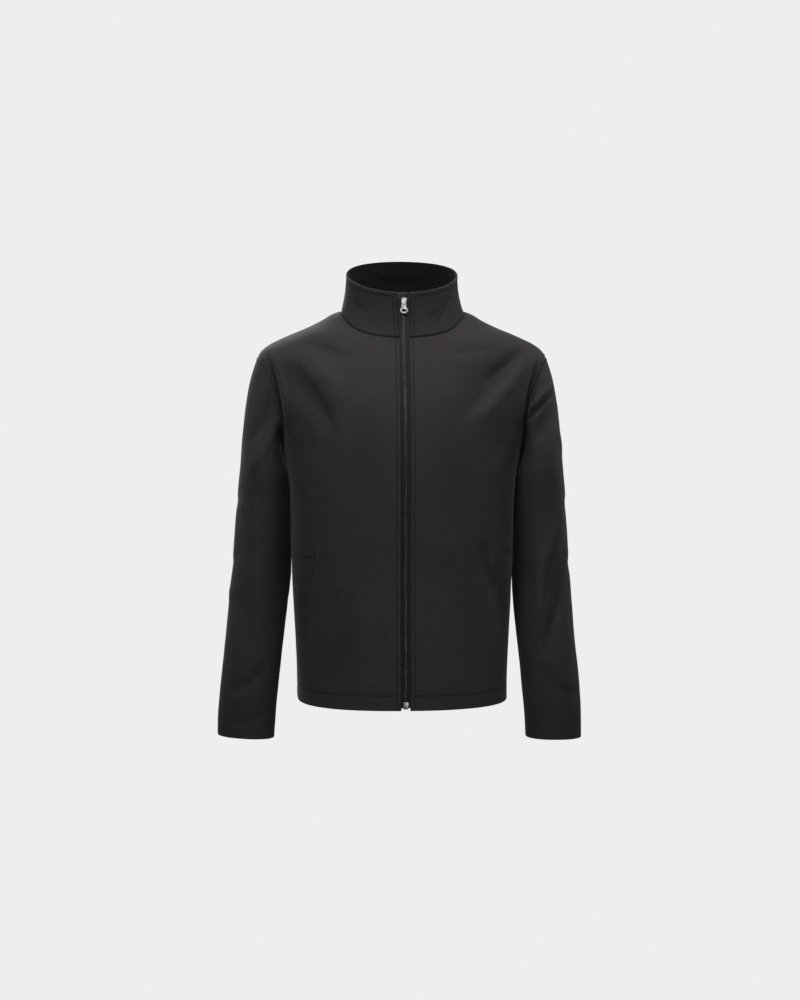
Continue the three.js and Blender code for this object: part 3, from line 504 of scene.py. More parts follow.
# Folds of each piece in millimetres. A line runs through its points, across and up, as seen from its
# side. lift is positive for a ridge, lean narrows the side that it leans to, and dark is how much shade
# a trough holds.
def fold(seen, line, width, lift, lean=0.0, dark=0.3):
    curve = curveThrough(line)
    margin = Vector((1, 1)) * width * 3
    low = Vector([min(p[k] for p in curve) for k in (0, 1)]) - margin
    high = Vector([max(p[k] for p in curve) for k in (0, 1)]) + margin
    return {"seen": seen, "curve": curve, "low": low, "high": high,
            "width": width, "lift": lift, "lean": lean, "dark": dark}

folds = {}
folds["front_right"] = [
    fold("front", [(-232, -64), (-220, -116), (-213, -148), (-208, -188), (-205, -222)],
         4.5, -3.4, 0.3, 1.1),
    fold("front", [(-222, -70), (-208, -120), (-201, -166), (-196, -214)], 6, 2.6, 0.2),
    fold("front", [(-170, -56), (-134, -66), (-96, -84)], 9, -2.2, 0.3),
    fold("right", [(-10, -216), (-12, -260), (-10, -340), (-10, -440)], 26, 2.0),
    fold("right", [(-14, -200), (-14, -240), (-14, -290)], 22, 3.6),
    fold("front", [(-190, -84), (-160, -128), (-134, -170), (-118, -214)], 11, -3.2, 0.3),
    fold("front", [(-172, -66), (-138, -104), (-104, -142)], 12, 2.2, -0.2),
    fold("front", [(-148, -236), (-156, -330), (-146, -430)], 28, 2.0),
    fold("front", [(-60, -150), (-72, -260), (-64, -380)], 34, -1.8),
    fold("front", [(-40, -470), (-58, -560), (-52, -648)], 24, 1.8),
    fold("front", [(-112, -470), (-104, -560), (-116, -640)], 22, -1.6),
    fold("front", [(-136, -396), (-160, -480), (-176, -566)], 5, -1.7, -0.5),
    fold("front", [(-188, -416), (-174, -420), (-158, -421), (-146, -416)], 1.8, -1.5, 0.3, 1.6),
]
folds["front_left"] = [
    fold("front", [(232, -78), (216, -130), (209, -168), (205, -214)], 4.5, -3.4, -0.3, 1.2),
    fold("front", [(206, -66), (172, -94), (136, -122)], 9, -3.0, 0.3, 0.6),
    fold("front", [(228, -76), (180, -128), (128, -186)], 11, 3.2, 0.3),
    fold("front", [(184, -98), (136, -144), (88, -186)], 12, -2.2, 0.2),
    fold("front", [(166, -62), (118, -68), (68, -76)], 9, -2.2),
    fold("front", [(196, -210), (170, -250), (128, -286)], 16, 1.6),
    fold("front", [(64, -150), (80, -270), (70, -390)], 34, -1.8),
    fold("front", [(52, -470), (74, -560), (66, -650)], 24, 1.8),
    fold("front", [(130, -400), (142, -450), (158, -480)], 9, -1.8, 0.3),
    fold("front", [(136, -396), (160, -480), (176, -566)], 5, -1.7, 0.5),
    fold("front", [(188, -412), (178, -415), (168, -411)], 1.8, -1.5, -0.3, 1.4),
]
folds["back"] = [
    fold("back", [(-196, -120), (-150, -170), (-96, -240)], 11, -3.0, 0.3),
    fold("back", [(-204, -160), (-164, -226), (-120, -300)], 12, 2.6, 0.3),
    fold("back", [(196, -124), (146, -176), (90, -232)], 11, -3.0, -0.3),
    fold("back", [(204, -168), (160, -240), (126, -312)], 12, 2.6, -0.3),
    fold("back", [(-120, -52), (-40, -66), (50, -62), (124, -48)], 16, -2.0),
    fold("back", [(-60, -120), (-74, -250), (-58, -380)], 32, -2.0),
    fold("back", [(70, -130), (86, -260), (66, -380)], 32, -1.8),
    fold("right", [(16, -200), (16, -240), (14, -290)], 22, 3.0),
    fold("back", [(-176, -350), (-90, -392), (10, -402), (96, -388)], 13, -3.2, 0.4),
    fold("back", [(178, -404), (88, -440), (0, -452), (-70, -446)], 13, -2.8, -0.4),
    fold("back", [(-150, -440), (-60, -486), (30, -494)], 15, 2.2),
    fold("back", [(120, -500), (60, -560), (72, -640)], 24, -1.6),
    fold("back", [(-110, -520), (-80, -590), (-94, -650)], 22, 1.8),
]
folds["sleeve_right"] = [
    fold("front", [(-226, -140), (-240, -186), (-262, -232)], 7, -2.8, 0.3),
    fold("front", [(-218, -186), (-236, -236), (-266, -280)], 9, 2.6, 0.3),
    fold("front", [(-258, -320), (-250, -440), (-256, -560)], 14, 2.0),
    fold("front", [(-284, -340), (-290, -440), (-280, -520)], 12, -2.0),
    fold("front", [(-232, -600), (-262, -640), (-300, -656)], 9, -2.2, 0.3),
    fold("front", [(-228, -684), (-258, -704), (-296, -708)], 9, -1.6, 0.2),
    fold("right", [(-50, -300), (0, -330), (46, -320)], 12, -1.7, 0.3),
    fold("right", [(-46, -410), (0, -436), (40, -430)], 12, -1.5, 0.3),
    fold("right", [(-52, -470), (-10, -490), (30, -482)], 12, 1.2),
    fold("back", [(-220, -190), (-246, -250), (-276, -292)], 9, -2.8, -0.3),
    fold("back", [(-224, -400), (-252, -430), (-286, -436)], 9, -3.2, 0.4),
    fold("back", [(-222, -446), (-250, -470), (-288, -478)], 9, -2.8, 0.4),
    fold("back", [(-226, -560), (-256, -620), (-268, -690)], 12, 2.0),
    fold("left", [(0, -196), (2, -236), (0, -400), (0, -500)], 30, 3.2),
    fold("left", [(0, -200), (0, -240), (0, -290)], 26, 3.2),
]
folds["sleeve_left"] = [
    fold("front", [(266, -136), (242, -160), (213, -190)], 4.5, -4.0, 0.5, 0.9),
    fold("front", [(262, -124), (236, -148), (206, -182)], 5, 3.0, 0.3),
    fold("front", [(234, -96), (228, -140), (222, -178)], 8, -2.2, 0.3),
    fold("front", [(276, -300), (262, -390), (244, -446), (234, -540)], 9, 3.2, 0.2),
    fold("front", [(284, -430), (270, -500), (254, -560), (246, -600)], 9, -3.2, 0.2),
    fold("front", [(240, -606), (270, -650), (308, -668)], 10, -2.0, 0.3),
    fold("left", [(-50, -310), (0, -336), (46, -326)], 12, -1.7, 0.3),
    fold("left", [(-46, -420), (0, -440), (40, -436)], 12, -1.5, 0.3),
    fold("left", [(-56, -200), (-10, -236), (40, -244)], 12, 1.4),
    fold("back", [(222, -186), (248, -246), (276, -286)], 9, -2.8, 0.3),
    fold("back", [(222, -410), (250, -440), (286, -446)], 9, -3.2, -0.4),
    fold("back", [(222, -456), (250, -484), (288, -490)], 9, -2.8, -0.4),
    fold("back", [(228, -566), (258, -626), (268, -694)], 12, 2.0),
    fold("right", [(0, -196), (2, -236), (0, -400), (0, -500)], 30, 2.0),
]
folds["collar"] = [
    fold("front", [(82, 24), (66, -6), (58, -24)], 5, -2.2, 0.3),
    fold("front", [(60, 2), (50, -12), (44, -20)], 4, -1.6, 0.3),
    fold("front", [(-84, 18), (-74, 4), (-64, -8)], 6, -1.8),
    fold("back", [(-60, 70), (-48, 48), (-52, 26)], 7, -1.6),
    fold("back", [(50, 66), (40, 46), (48, 28)], 7, -1.6),
]
folds["collar_facing"] = [
    fold("front", [(-58, 74), (-20, 66), (26, 70)], 6, 1.4),
    fold("front", [(-40, 56), (0, 50), (48, 58)], 6, -1.4),
    fold("front", [(62, 70), (54, 50), (60, 30)], 6, -1.2),
    fold("front", [(-66, 66), (-58, 46), (-62, 28)], 6, 1.2),
]
folds["zip_guard"] = [
    fold("front", [(-10, 52), (-7, 36), (-2, 20)], 1.3, -1.2, 0.3, 1.4),
    fold("front", [(-4, 52), (-1, 36), (3, 20)], 1.4, -1.4, 0.2, 1.6),
    fold("front", [(9, 52), (7, 36), (4, 22)], 2.0, 1.0, -0.3),
    fold("front", [(14, 52), (10, 36), (5, 19)], 1.6, -2.2, 0.0, 2.6),
    fold("front", [(0, 15), (0, 24), (0, 80)], 20, 5.3),
]
# How far one fold lifts the cloth at a place seen from the fold's side
def foldLift(crease, across, up):
    line, low, high = crease["curve"], crease["low"], crease["high"]
    if not (low.x < across < high.x and low.y < up < high.y):
        return 0.0
    place = Vector((across, up))
    best, away, along = 1e9, 0.0, 0.0
    for i in range(len(line) - 1):
        step = line[i + 1] - line[i]
        t = (place - line[i]).dot(step) / step.length_squared
        t = min(max(t, 0.0), 1.0)
        gap = place - (line[i] + step * t)
        if gap.length_squared < best:
            best = gap.length_squared
            along = (i + t) / (len(line) - 1)
            away = gap.length if step.cross(gap) > 0 else -gap.length
    width = crease["width"] * (1 - crease["lean"] if away > 0 else 1 + crease["lean"])
    return crease["lift"] * math.exp(-(away / width) ** 2) * math.sin(math.pi * along) ** 0.7

# A fold fades out where the cloth turns away from its side
foldSetup = {"turned": 0.02, "full": 0.35, "shadeDepth": 3.0}

def allFolds(name, place, normal):
    setup = foldSetup
    lift, shade = 0.0, 0.0
    for crease in folds.get(name, ()):
        look, axis = foldViews[crease["seen"]]
        facing = abs(normal.dot(look)) if name == "collar_facing" else normal.dot(look)
        if facing > setup["turned"]:
            one = foldLift(crease, place[axis] / mm, place.z / mm) * min(1.0, facing / setup["full"])
            lift += one
            shade += max(0.0, -one / setup["shadeDepth"]) * crease["dark"]
    return lift * mm, shade

# The side of a sleeve that hangs against the body holds shade, and so does the cuff
sleeveShade = {"sleeve_left": 0.4, "sleeve_right": 0.75, "cuff": 0.28, "facing": 0.8,
               "top": (-0.1, 0.1), "bottom": (-0.56, 0.12), "cuffTop": (-0.5, 0.2)}  # height and fade

def clamped(value):
    return min(1.0, max(0.0, value))

def besideBody(name, place, normal):
    if name not in sleeveShade:
        return 0.0
    side = -1 if name.endswith("left") else 1
    (top, topFade), (bottom, bottomFade), (cuffTop, cuffFade) = (
        sleeveShade[key] for key in ("top", "bottom", "cuffTop"))
    inward = clamped(normal.x * side / sleeveShade["facing"])
    down = clamped((place.z - bottom) / bottomFade) * clamped((top - place.z) / topFade)
    cuff = clamped((cuffTop - place.z) / cuffFade)
    return sleeveShade[name] * inward * inward * (3 - 2 * inward) * down + sleeveShade["cuff"] * cuff

# The cloth never lies quite even: long swells with smaller ones on them, and calmer by the zip
swellSetup = {"longSize": 85 * mm, "longLift": 1.2 * mm, "shortSize": 31 * mm, "shortLift": 0.45 * mm,
              "calm": 0.35, "calmWidth": 45 * mm}

def unevenness(place):
    setup = swellSetup
    calm = setup["calm"] + (1 - setup["calm"]) * min(1.0, abs(place.x) / setup["calmWidth"])
    large = noise.noise(place / setup["longSize"]) * setup["longLift"]
    small = noise.noise(place / setup["shortSize"] + Vector((7, 3, 5))) * setup["shortLift"]
    return (large + small) * calm


# A cloth piece: its outer skin with folds and sewn edges, its inner skin, and the turned rim between
controls = {}

def treeOf(places):
    tree = KDTree(len(places))
    for i, place in enumerate(places):
        tree.insert(place, i)
    tree.balance()
    return tree

def rimOf(bm):
    rim = [v for v in bm.verts if v.is_boundary]
    return rim, treeOf([v.co for v in rim])

# Keeps the corners where three pieces meet, or where an edge turns sharply
def creaseCorners(name, trees):
    bm = controls[name]
    crease = bm.verts.layers.float.new("crease_vert")
    for v in bm.verts:
        if v.is_boundary:
            meeting = sum(1 for other in trees if other != name and trees[other].find(v.co)[2] < seamReach)
            a, b = [e.other_vert(v).co - v.co for e in v.link_edges if e.is_boundary]
            v[crease] = 1.0 if meeting > 1 or a.angle(b) < math.radians(130) else 0.0

# Moves the points of a sheet so that its smooth surface runs through where they were
def fitSheet(name):
    bm = controls[name]
    wanted = [v.co.copy() for v in bm.verts]
    for turn in range(3):
        smooth = refined(bm, name, 1)
        smooth.verts.ensure_lookup_table()
        for i, v in enumerate(bm.verts):
            v.co += wanted[i] - smooth.verts[i].co
        smooth.free()

# Which way is out of the sheet, in its plane, at each vertex of its edge
def outward(bm):
    out = {v: Vector() for v in bm.verts if v.is_boundary}
    for edge in bm.edges:
        if edge.is_boundary:
            loop = edge.link_loops[0]
            along = (loop.link_loop_next.vert.co - loop.vert.co).normalized()
            for v in edge.verts:
                out[v] += along.cross(loop.face.normal)
    return {v: d.normalized() for v, d in out.items()}

# The vertices of each edge of a sheet, in order round it
def rimLoops(bm):
    after = {}
    for edge in bm.edges:
        if edge.is_boundary:
            loop = edge.link_loops[0]
            after[loop.vert] = loop.link_loop_next.vert
    loops = []
    while after:
        line = [next(iter(after))]
        while line[-1] in after:
            line.append(after.pop(line[-1]))
        loops.append(line[:-1])
    return loops

# The vertex of the inner skin's edge that belongs to each one of the outer skin's
def pairedRims(outer, inner):
    pairs = {}
    innerLoops = rimLoops(inner)
    for line in rimLoops(outer):
        best = None
        for other in innerLoops:
            if len(other) == len(line):
                tree = treeOf([v.co for v in other])
                for k in range(0, len(line), 7):
                    found, i, away = tree.find(line[k].co)
                    if best is None or away < best[0]:
                        best = (away, other, (i - k) % len(line))
        away, other, shift = best
        for k, v in enumerate(line):
            pairs[v] = other[(k + shift) % len(other)]
    return pairs

def edgeKind(out, seam):
    if seam:
        return seam[1]
    if abs(out.z) > 0.6:
        return "top" if out.z > 0 else "bottom"
    return "front"

# Where a line of stitches gives way to the one along another edge
givesWay = {"bottom": "front", "top": "front", "front": "top"}

def rowsOf(name, places, kinds):
    rows = sheets[name]["rows"]
    trees = {kind: treeOf([p for p, k in zip(places, kinds) if k == kind]) for kind in rows}
    def distanceFrom(kind, place):
        away = trees[kind].find(place)[2]
        other = givesWay.get(kind)
        stopped = other in rows and trees[other].find(place)[2] < rows[other] - 0.5 * mm
        return 1.0 if stopped else away - rows[kind]
    return distanceFrom

def shapeSkin(bm, name, seamAt, depth=0.0):
    setup, sheet = clothSetup, sheets[name]
    rim, tree = rimOf(bm)
    out = outward(bm)
    seams = [seamAt(v.co) for v in rim]
    kinds = [edgeKind(out[v], s) for v, s in zip(rim, seams)]
    dips = [(v.normal + seam[0]) * -0.5 if seam else Vector() for v, seam in zip(rim, seams)]
    alike = [max(0.0, v.normal.dot(seam[0])) if seam else 0.0 for v, seam in zip(rim, seams)]
    distanceFrom = rowsOf(name, [v.co for v in rim], kinds)
    moves = []
    for v in bm.verts:
        place, normal = v.co.copy(), v.normal.copy()
        found, i, away = tree.find(place)
        fade = min(1.0, away / setup["foldFade"])
        fade = fade * fade * (3 - 2 * fade) if seams[i] else 1.0
        folded, shade = allFolds(name, place, normal)
        lift = (folded + unevenness(place) * sheet["swell"]) * fade
        # painted shade set for the whole piece, and painted shade on a sleeve beside the body and at its cuff
        shade += sheet.get("shade", 0.0) + besideBody(name, place, normal)
        pucker = math.exp(-(away / setup["puckerReach"]) ** 2) * sheet["swell"]
        if seams[i]:
            pucker *= 1 - math.exp(-(away / (3 * mm)) ** 2)
            offset = (away - setup["allowanceMiddle"]) / setup["allowanceWidth"]
            lift += setup["allowanceLift"] * math.exp(-offset ** 2) * alike[i]
            shade += setup["seamShade"] * math.exp(-(away / setup["seamShadeWidth"]) ** 2)
        elif kinds[i] == "front":
            # painted shade along a free folded edge, where it rolls under
            shade += setup["foldShade"] * math.exp(-(away / (0.9 * mm)) ** 2)
        lift += noise.noise(place / setup["puckerSize"]) * setup["puckerLift"] * pucker
        for kind in sheet["rows"]:
            groove = math.exp(-(distanceFrom(kind, place) / setup["grooveWidth"]) ** 2)
            lift -= setup["grooveDepth"] * groove
            shade += setup["grooveShade"] * groove
        # painted highlight along a folded top or bottom edge, where it catches the light
        paintedHighlight = setup["paintedHighlight"].get(kinds[i], 0.0) * math.exp(-(away / setup["highlightWidth"]) ** 2)
        turned = 0.0 if seams[i] else max(0.0, 1 - away / setup["turnedWidth"])
        wall = sheet["wall"] + (sheet["turned"] - sheet["wall"]) * turned
        drawn = max(0.0, 1 - away / setup["drawnWidth"]) * sheet["wall"]
        drawn *= setup["drawnSeam"] if seams[i] else setup["drawnFree"]
        dip = dips[i] * setup["seamDip"] * math.exp(-(away / setup["seamDipWidth"]) ** 2)
        spot = place + normal * (lift - depth * wall) + dip - out[rim[i]] * drawn
        moves.append((v, spot, paintedHighlight, min(1.0, shade)))
    moveAll(bm, moves)
    return {v: (out[v], sheet["wall"] if s else sheet["turned"]) for v, s in zip(rim, seams)}

def moveAll(bm, moves):
    highlightLayer = bm.verts.layers.float["paintedHighlight"]
    shadeLayer = bm.verts.layers.float["shade"]
    for v, place, paintedHighlight, shade in moves:
        v.co = place
        v[highlightLayer] = paintedHighlight
        v[shadeLayer] = shade
    bm.normal_update()

# Lays a pocket welt on the front: its outer long side is the raised mouth, its other sides are sunk in
weltSetup = {"rise": 0.55 * mm, "mouthRise": 1.15 * mm, "sunk": -0.35 * mm, "edgeWidth": 2.4 * mm,
             "puckerLift": 0.3 * mm, "edgeShade": 0.5, "paintedHighlight": 0.35}

def layWelt(bm, name, seamAt, depth=0.0):
    setup, sheet = weltSetup, sheets[name]
    rim, tree = rimOf(bm)
    out = outward(bm)
    side = 1 if name.endswith("left") else -1
    mouth = [v.co for v in rim if out[v].x * side > 0.35]
    mouthTree = treeOf(mouth)
    moves = []
    for v in bm.verts:
        place = v.co.copy()
        way = v.normal.copy()
        hit, normal, face, far = surfaces[sheet["laidOn"]].ray_cast(place + way * 12 * mm, -way, 40 * mm)
        away = tree.find(place)[2]
        mouthAway = mouthTree.find(place)[2]
        share = min(1.0, away / setup["edgeWidth"])
        rise = setup["sunk"] + (setup["rise"] - setup["sunk"]) * share * share * (3 - 2 * share)
        near = math.exp(-(mouthAway / (2.2 * mm)) ** 2)
        ends = min(1.0, min((place - mouth[k]).length for k in (0, -1)) / (9 * mm))
        rise += (setup["mouthRise"] - rise) * near * ends
        rise += noise.noise(place / (5 * mm)) * setup["puckerLift"] * near
        # painted shade along the welt's sunk edges and a painted highlight along its raised mouth, where it
        # catches the light
        shade = math.exp(-(away / (1.5 * mm)) ** 2) * (1 - near * ends) * setup["edgeShade"]
        moves.append((v, hit + normal * (rise - depth * sheet["wall"]), near * ends * setup["paintedHighlight"], shade))
    moveAll(bm, moves)
    return {v: (out[v], sheet["wall"]) for v in rim}

# Rolls the edge of the outer skin round to the edge of the inner one
def turnRim(bm, edge, pairs, steps=3):
    info = {v: (v.co.copy(), v.normal.copy(), out, wall / 2, pairs[v].co.copy())
            for v, (out, wall) in edge.items()}
    edges = [e for e in bm.edges if e.is_boundary]
    for step in range(1, steps + 1):
        made = bmesh.ops.extrude_edge_only(bm, edges=edges)["geom"]
        turn = math.pi * step / steps
        fresh = {}
        for v in (g for g in made if isinstance(g, bmesh.types.BMVert)):
            old = next(e.other_vert(v) for e in v.link_edges if e.other_vert(v) in info)
            fresh[v] = info[old]
        for v, (place, normal, out, radius, end) in fresh.items():
            rolled = place + out * radius * math.sin(turn) - normal * radius * (1 - math.cos(turn))
            v.co = end if step == steps else rolled
        info = fresh
        edges = [g for g in made if isinstance(g, bmesh.types.BMEdge)]

# Splits the faces near the edges of a sheet and near its lines of stitching
def finerBands(bm, name, seamAt):
    rim, tree = rimOf(bm)
    out = outward(bm)
    distanceFrom = rowsOf(name, [v.co for v in rim], [edgeKind(out[v], seamAt(v.co)) for v in rim])
    chosen = {}  # keeps its order, so that each run gives the same mesh
    for face in bm.faces:
        middle = face.calc_center_median()
        near = any(abs(distanceFrom(kind, middle)) < clothSetup["lineBand"] for kind in sheets[name]["rows"])
        if near or tree.find(middle)[2] < clothSetup["seamBand"]:
            chosen.update(dict.fromkeys(face.edges))
    bmesh.ops.subdivide_edges(bm, edges=list(chosen), cuts=1, use_grid_fill=True)
    bm.normal_update()

surfaces = {}

def clothPiece(name, seamAt, shape):
    sheet = sheets[name]
    outer = refined(controls[name], name, sheet["level"])
    finerBands(outer, name, seamAt)
    inner = refined(controls[name], name, sheet["level"] - 1)
    bmesh.ops.subdivide_edges(inner, edges=[e for e in inner.edges if e.is_boundary], cuts=3)
    inner.normal_update()
    for bm in (outer, inner):
        bm.verts.layers.float.new("paintedHighlight")
        bm.verts.layers.float.new("shade")
    pairs = pairedRims(outer, inner)
    edge = shape(outer, name, seamAt, 0.0)
    shape(inner, name, seamAt, 1.0)
    surfaces[name] = BVHTree.FromBMesh(outer)
    turnRim(outer, edge, pairs)
    bmesh.ops.reverse_faces(inner, faces=inner.faces)
    for index, bm in enumerate((outer, inner)):
        for face in bm.faces:
            face.material_index = index
    spare = bpy.data.meshes.new("inner")
    inner.to_mesh(spare)
    outer.from_mesh(spare)
    bpy.data.meshes.remove(spare)
    bmesh.ops.remove_doubles(outer, verts=[v for v in outer.verts if v.is_boundary], dist=0.01 * mm)
    openEdges = sum(1 for e in outer.edges if e.is_boundary)
    print("cloth", name, len(outer.faces), "faces,", openEdges, "open edges")
    inner.free()
    return finished(outer, name + "_cloth", cloths[sheet["slot"]], sheet["slot"], node=name)

def finished(bm, name, materials, slot, body="garment", node=None):
    mesh = meshOf(bm, name)
    for material in materials:
        mesh.materials.append(material)
    thing = linked(name, mesh)
    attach(thing, body)
    if node:
        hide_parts(node)
    return thing

# The smooth edge of a sheet: places, the way that the cloth faces there and the way out of it
def edgeOf(name):
    bm = refined(controls[name], name, 2)
    out = outward(bm)
    lines = [[(v.co.copy(), v.normal.copy(), out[v]) for v in line] for line in rimLoops(bm)]
    bm.free()
    return lines

for name, sheet in sheets.items():
    bm = stripOf(name) if name.startswith("zip") else skinOf(name, sheet["solid"], "inside" in sheet)
    if name.startswith("sleeve"):
        markUnderarm(bm)
    controls[name] = flatten(bm, name)
    bm.free()
trees = {name: rimOf(controls[name])[1] for name in sewn}
for name in sheets:
    creaseCorners(name, trees)
    fitSheet(name)
edges = {name: edgeOf(name) for name in sheets}
print("sheets ready")

def seamsOf(name):
    if name not in sewn:
        return lambda place: None
    others = [(place, normal, other) for other in sewn if other != name for line in edges[other]
              for place, normal, out in line]
    tree = treeOf([place for place, normal, other in others])
    def seamAt(place):
        found, i, away = tree.find(place)
        return others[i][1:] if away < 4 * mm else None
    return seamAt

seams = {name: seamsOf(name) for name in sheets}
for name, sheet in sheets.items():
    clothPiece(name, seams[name], layWelt if "laidOn" in sheet else shapeSkin)


# Copies of one small shape, each moved by its own matrix
def repeated(shape, places):
    bm = bmesh.new()
    for place in places:
        one = shape.copy()
        one.transform(place)
        bm.from_mesh(one)
        bpy.data.meshes.remove(one)
    return bm

def framed(x, y, z, place):
    matrix = Matrix((x, y, z)).transposed().to_4x4()
    matrix.translation = place
    return matrix

def evenly(line, pitch, start=0.0):
    spots, gone, due = [], 0.0, start
    for a, b in zip(line, line[1:]):
        length = (b - a).length
        while length > 0 and due <= gone + length:
            spots.append((a.lerp(b, (due - gone) / length), (b - a).normalized()))
            due += pitch
        gone += length
    return spots


# Topstitching: one lockstitch after another, sunk in its groove, in lines that follow the edges
stitchSetup = {"length": 2.7 * mm, "pitch": 3.2 * mm, "thick": 0.42 * mm, "sunk": 0.05 * mm}

def stitchShape():
    bm = bmesh.new()
    size = (stitchSetup["length"] / 2, stitchSetup["thick"] / 2, stitchSetup["thick"] / 2)
    bmesh.ops.create_icosphere(bm, subdivisions=1, radius=1, matrix=Matrix.Diagonal((*size, 1)))
    return meshOf(bm, "stitch")

def stitchPlace(name, spot, along, normal):
    hit, facing, face, far = surfaces[name].ray_cast(spot + normal * 12 * mm, -normal, 30 * mm)
    if hit is None:
        return None
    along = (along - facing * along.dot(facing)).normalized()
    return framed(along, facing.cross(along), facing, hit - facing * stitchSetup["sunk"])

def stitchRows(name):
    rows = sheets[name]["rows"]
    kindsOf = [[edgeKind(out, seams[name](place)) for place, normal, out in line] for line in edges[name]]
    distanceFrom = rowsOf(name, [spot[0] for line in edges[name] for spot in line],
                          [kind for kinds in kindsOf for kind in kinds])
    places = []
    for line, kinds in zip(edges[name], kindsOf):
        for kind, inset in rows.items():
            starts = [i for i in range(len(line)) if kinds[i] == kind and kinds[i - 1] != kind]
            for start in starts:
                run = []
                for k in range(len(line)):
                    place, normal, out = line[(start + k) % len(line)]
                    if kinds[(start + k) % len(line)] != kind:
                        break
                    run.append((place - out * inset, normal))
                tree = treeOf([place for place, normal in run])
                for spot, along in evenly([place for place, normal in run], stitchSetup["pitch"]):
                    if distanceFrom(kind, spot) < 0.9:  # it is 1.0 where the row gives way
                        normal = run[tree.find(spot)[1]][1]
                        places.append(stitchPlace(name, spot, along, normal))
    return [place for place in places if place]

# Short dense bars that hold each end of a pocket
def barPlaces(name, side):
    line = max(edges[name], key=len)
    low = min(line, key=lambda p: p[0].z)
    high = max(line, key=lambda p: p[0].z)
    places = []
    for place, normal, out in (low, high):
        for k in range(-5, 6):
            spot = place + Vector((side * k * 0.62 * mm, 0, -k * 0.1 * mm)) - out * 1.2 * mm
            made = stitchPlace(sheets[name]["laidOn"], spot, Vector((0.2 * side, 0, 1)), normal)
            if made:
                made.translation += made.col[2].to_3d() * 0.7 * mm
                places.append(made)
    return places

stitch = stitchShape()
for name in sheets:
    places = stitchRows(name)
    if "laidOn" in sheets[name]:
        places += barPlaces(name, 1 if name.endswith("left") else -1)
    if places:
        finished(repeated(stitch, places), name + "_stitches", [sewingThread], "softshell")
        print("stitches", name, len(places))
bpy.data.meshes.remove(stitch)


# What each piece of cloth was cut to: the size and area of its sheet laid flat
def cutOf(bm):
    layer = bm.loops.layers.uv["cloth"]
    spots = [loop[layer].uv for face in bm.faces for loop in face.loops]
    best = None
    for degrees in range(-44, 45, 2):
        turn = Matrix.Rotation(math.radians(degrees), 2)
        turned = [turn @ p for p in spots]
        wide, tall = (max(p[k] for p in turned) - min(p[k] for p in turned) for k in (0, 1))
        if best is None or wide * tall < best[0] * best[1]:
            best = (wide, tall)
    return best, min(sum(face.calc_area() for face in bm.faces), best[0] * best[1])

for name, sheet in sheets.items():
    flat, area = cutOf(controls[name])
    print("cut", name, [round(v, 3) for v in flat], round(area, 4))
    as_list(sheet["on"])
for bm in controls.values():
    bm.free()


# Teeth of the zip, moulded one by one onto the tape, each with a rounded head
toothSetup = {
    "pitch": 3.2 * mm,
    "thick": 2.3 * mm,
    "round": 0.34 * mm,
    "outline": [(0.0, -0.95), (1.9, -0.95), (2.5, -0.48), (3.1, -0.74), (3.95, -0.52),
                (3.95, 0.52), (3.1, 0.74), (2.5, 0.48), (1.9, 0.95), (0.0, 0.95)],
}

def toothShape():
    setup = toothSetup
    bm = bmesh.new()
    lower = bm.faces.new([bm.verts.new((x * mm, -setup["thick"] / 2, z * mm)) for x, z in setup["outline"]])
    made = bmesh.ops.extrude_face_region(bm, geom=[lower])["geom"]
    moved = [g for g in made if isinstance(g, bmesh.types.BMVert)]
    bmesh.ops.translate(bm, verts=moved, vec=(0, setup["thick"], 0))
    caps = [f for f in bm.faces if len(f.verts) == len(setup["outline"])]
    bmesh.ops.bevel(bm, geom=list(dict.fromkeys(e for f in caps for e in f.edges)), offset=setup["round"],
                    segments=2, profile=0.5, affect="EDGES", material=-1)
    bmesh.ops.recalc_face_normals(bm, faces=bm.faces)
    return meshOf(bm, "tooth")

# The middle, outer side and facing of the CAD bar at each of its cross-sections, from the hem up
def barSections(node):
    sections = []
    for corners in crossSections(node):
        ring = sorted(corners, key=lambda p: p.y)
        out = ((ring[0] + ring[1]) - (ring[2] + ring[3])).normalized()
        middle = sum(ring, Vector()) / 4
        sections.append((middle, max(abs(p.x) for p in ring), out))
    return sections

def toothPlaces(node, side):
    sections = barSections(node)
    line = [Vector((side * outer, middle.y, middle.z)) for middle, outer, out in sections]
    start = (1.2 if side > 0 else 2.8) * mm
    places = []
    for spot, along in evenly(line, toothSetup["pitch"], start):
        inward = Vector((-side, 0, 0))
        along = (along - inward * along.dot(inward)).normalized()
        places.append(framed(inward, along.cross(inward), along, spot))
    return places

tooth = toothShape()
for side, word in ((1, "left"), (-1, "right")):
    node = "zip_teeth_" + word
    places = toothPlaces(node, side)
    finished(repeated(tooth, places), node + "_moulded", [toothPlastic], "zip_teeth", node=node)
    print("teeth", word, len(places))
bpy.data.meshes.remove(tooth)


# Metal of the zip: the CAD solids with their edges rounded, as they come out of the die and the barrel
metalware = [
    {"node": "zip_slider", "round": 0.35 * mm, "body": "garment", "crown": 17 * mm, "narrow": 0.03},
    {"node": "zip_pull_tab", "round": 0.3 * mm, "body": "pull_tab", "crown": 5 * mm, "narrow": 0.02},
    {"node": "zip_end_box", "round": 0.4 * mm, "body": "garment"},
]

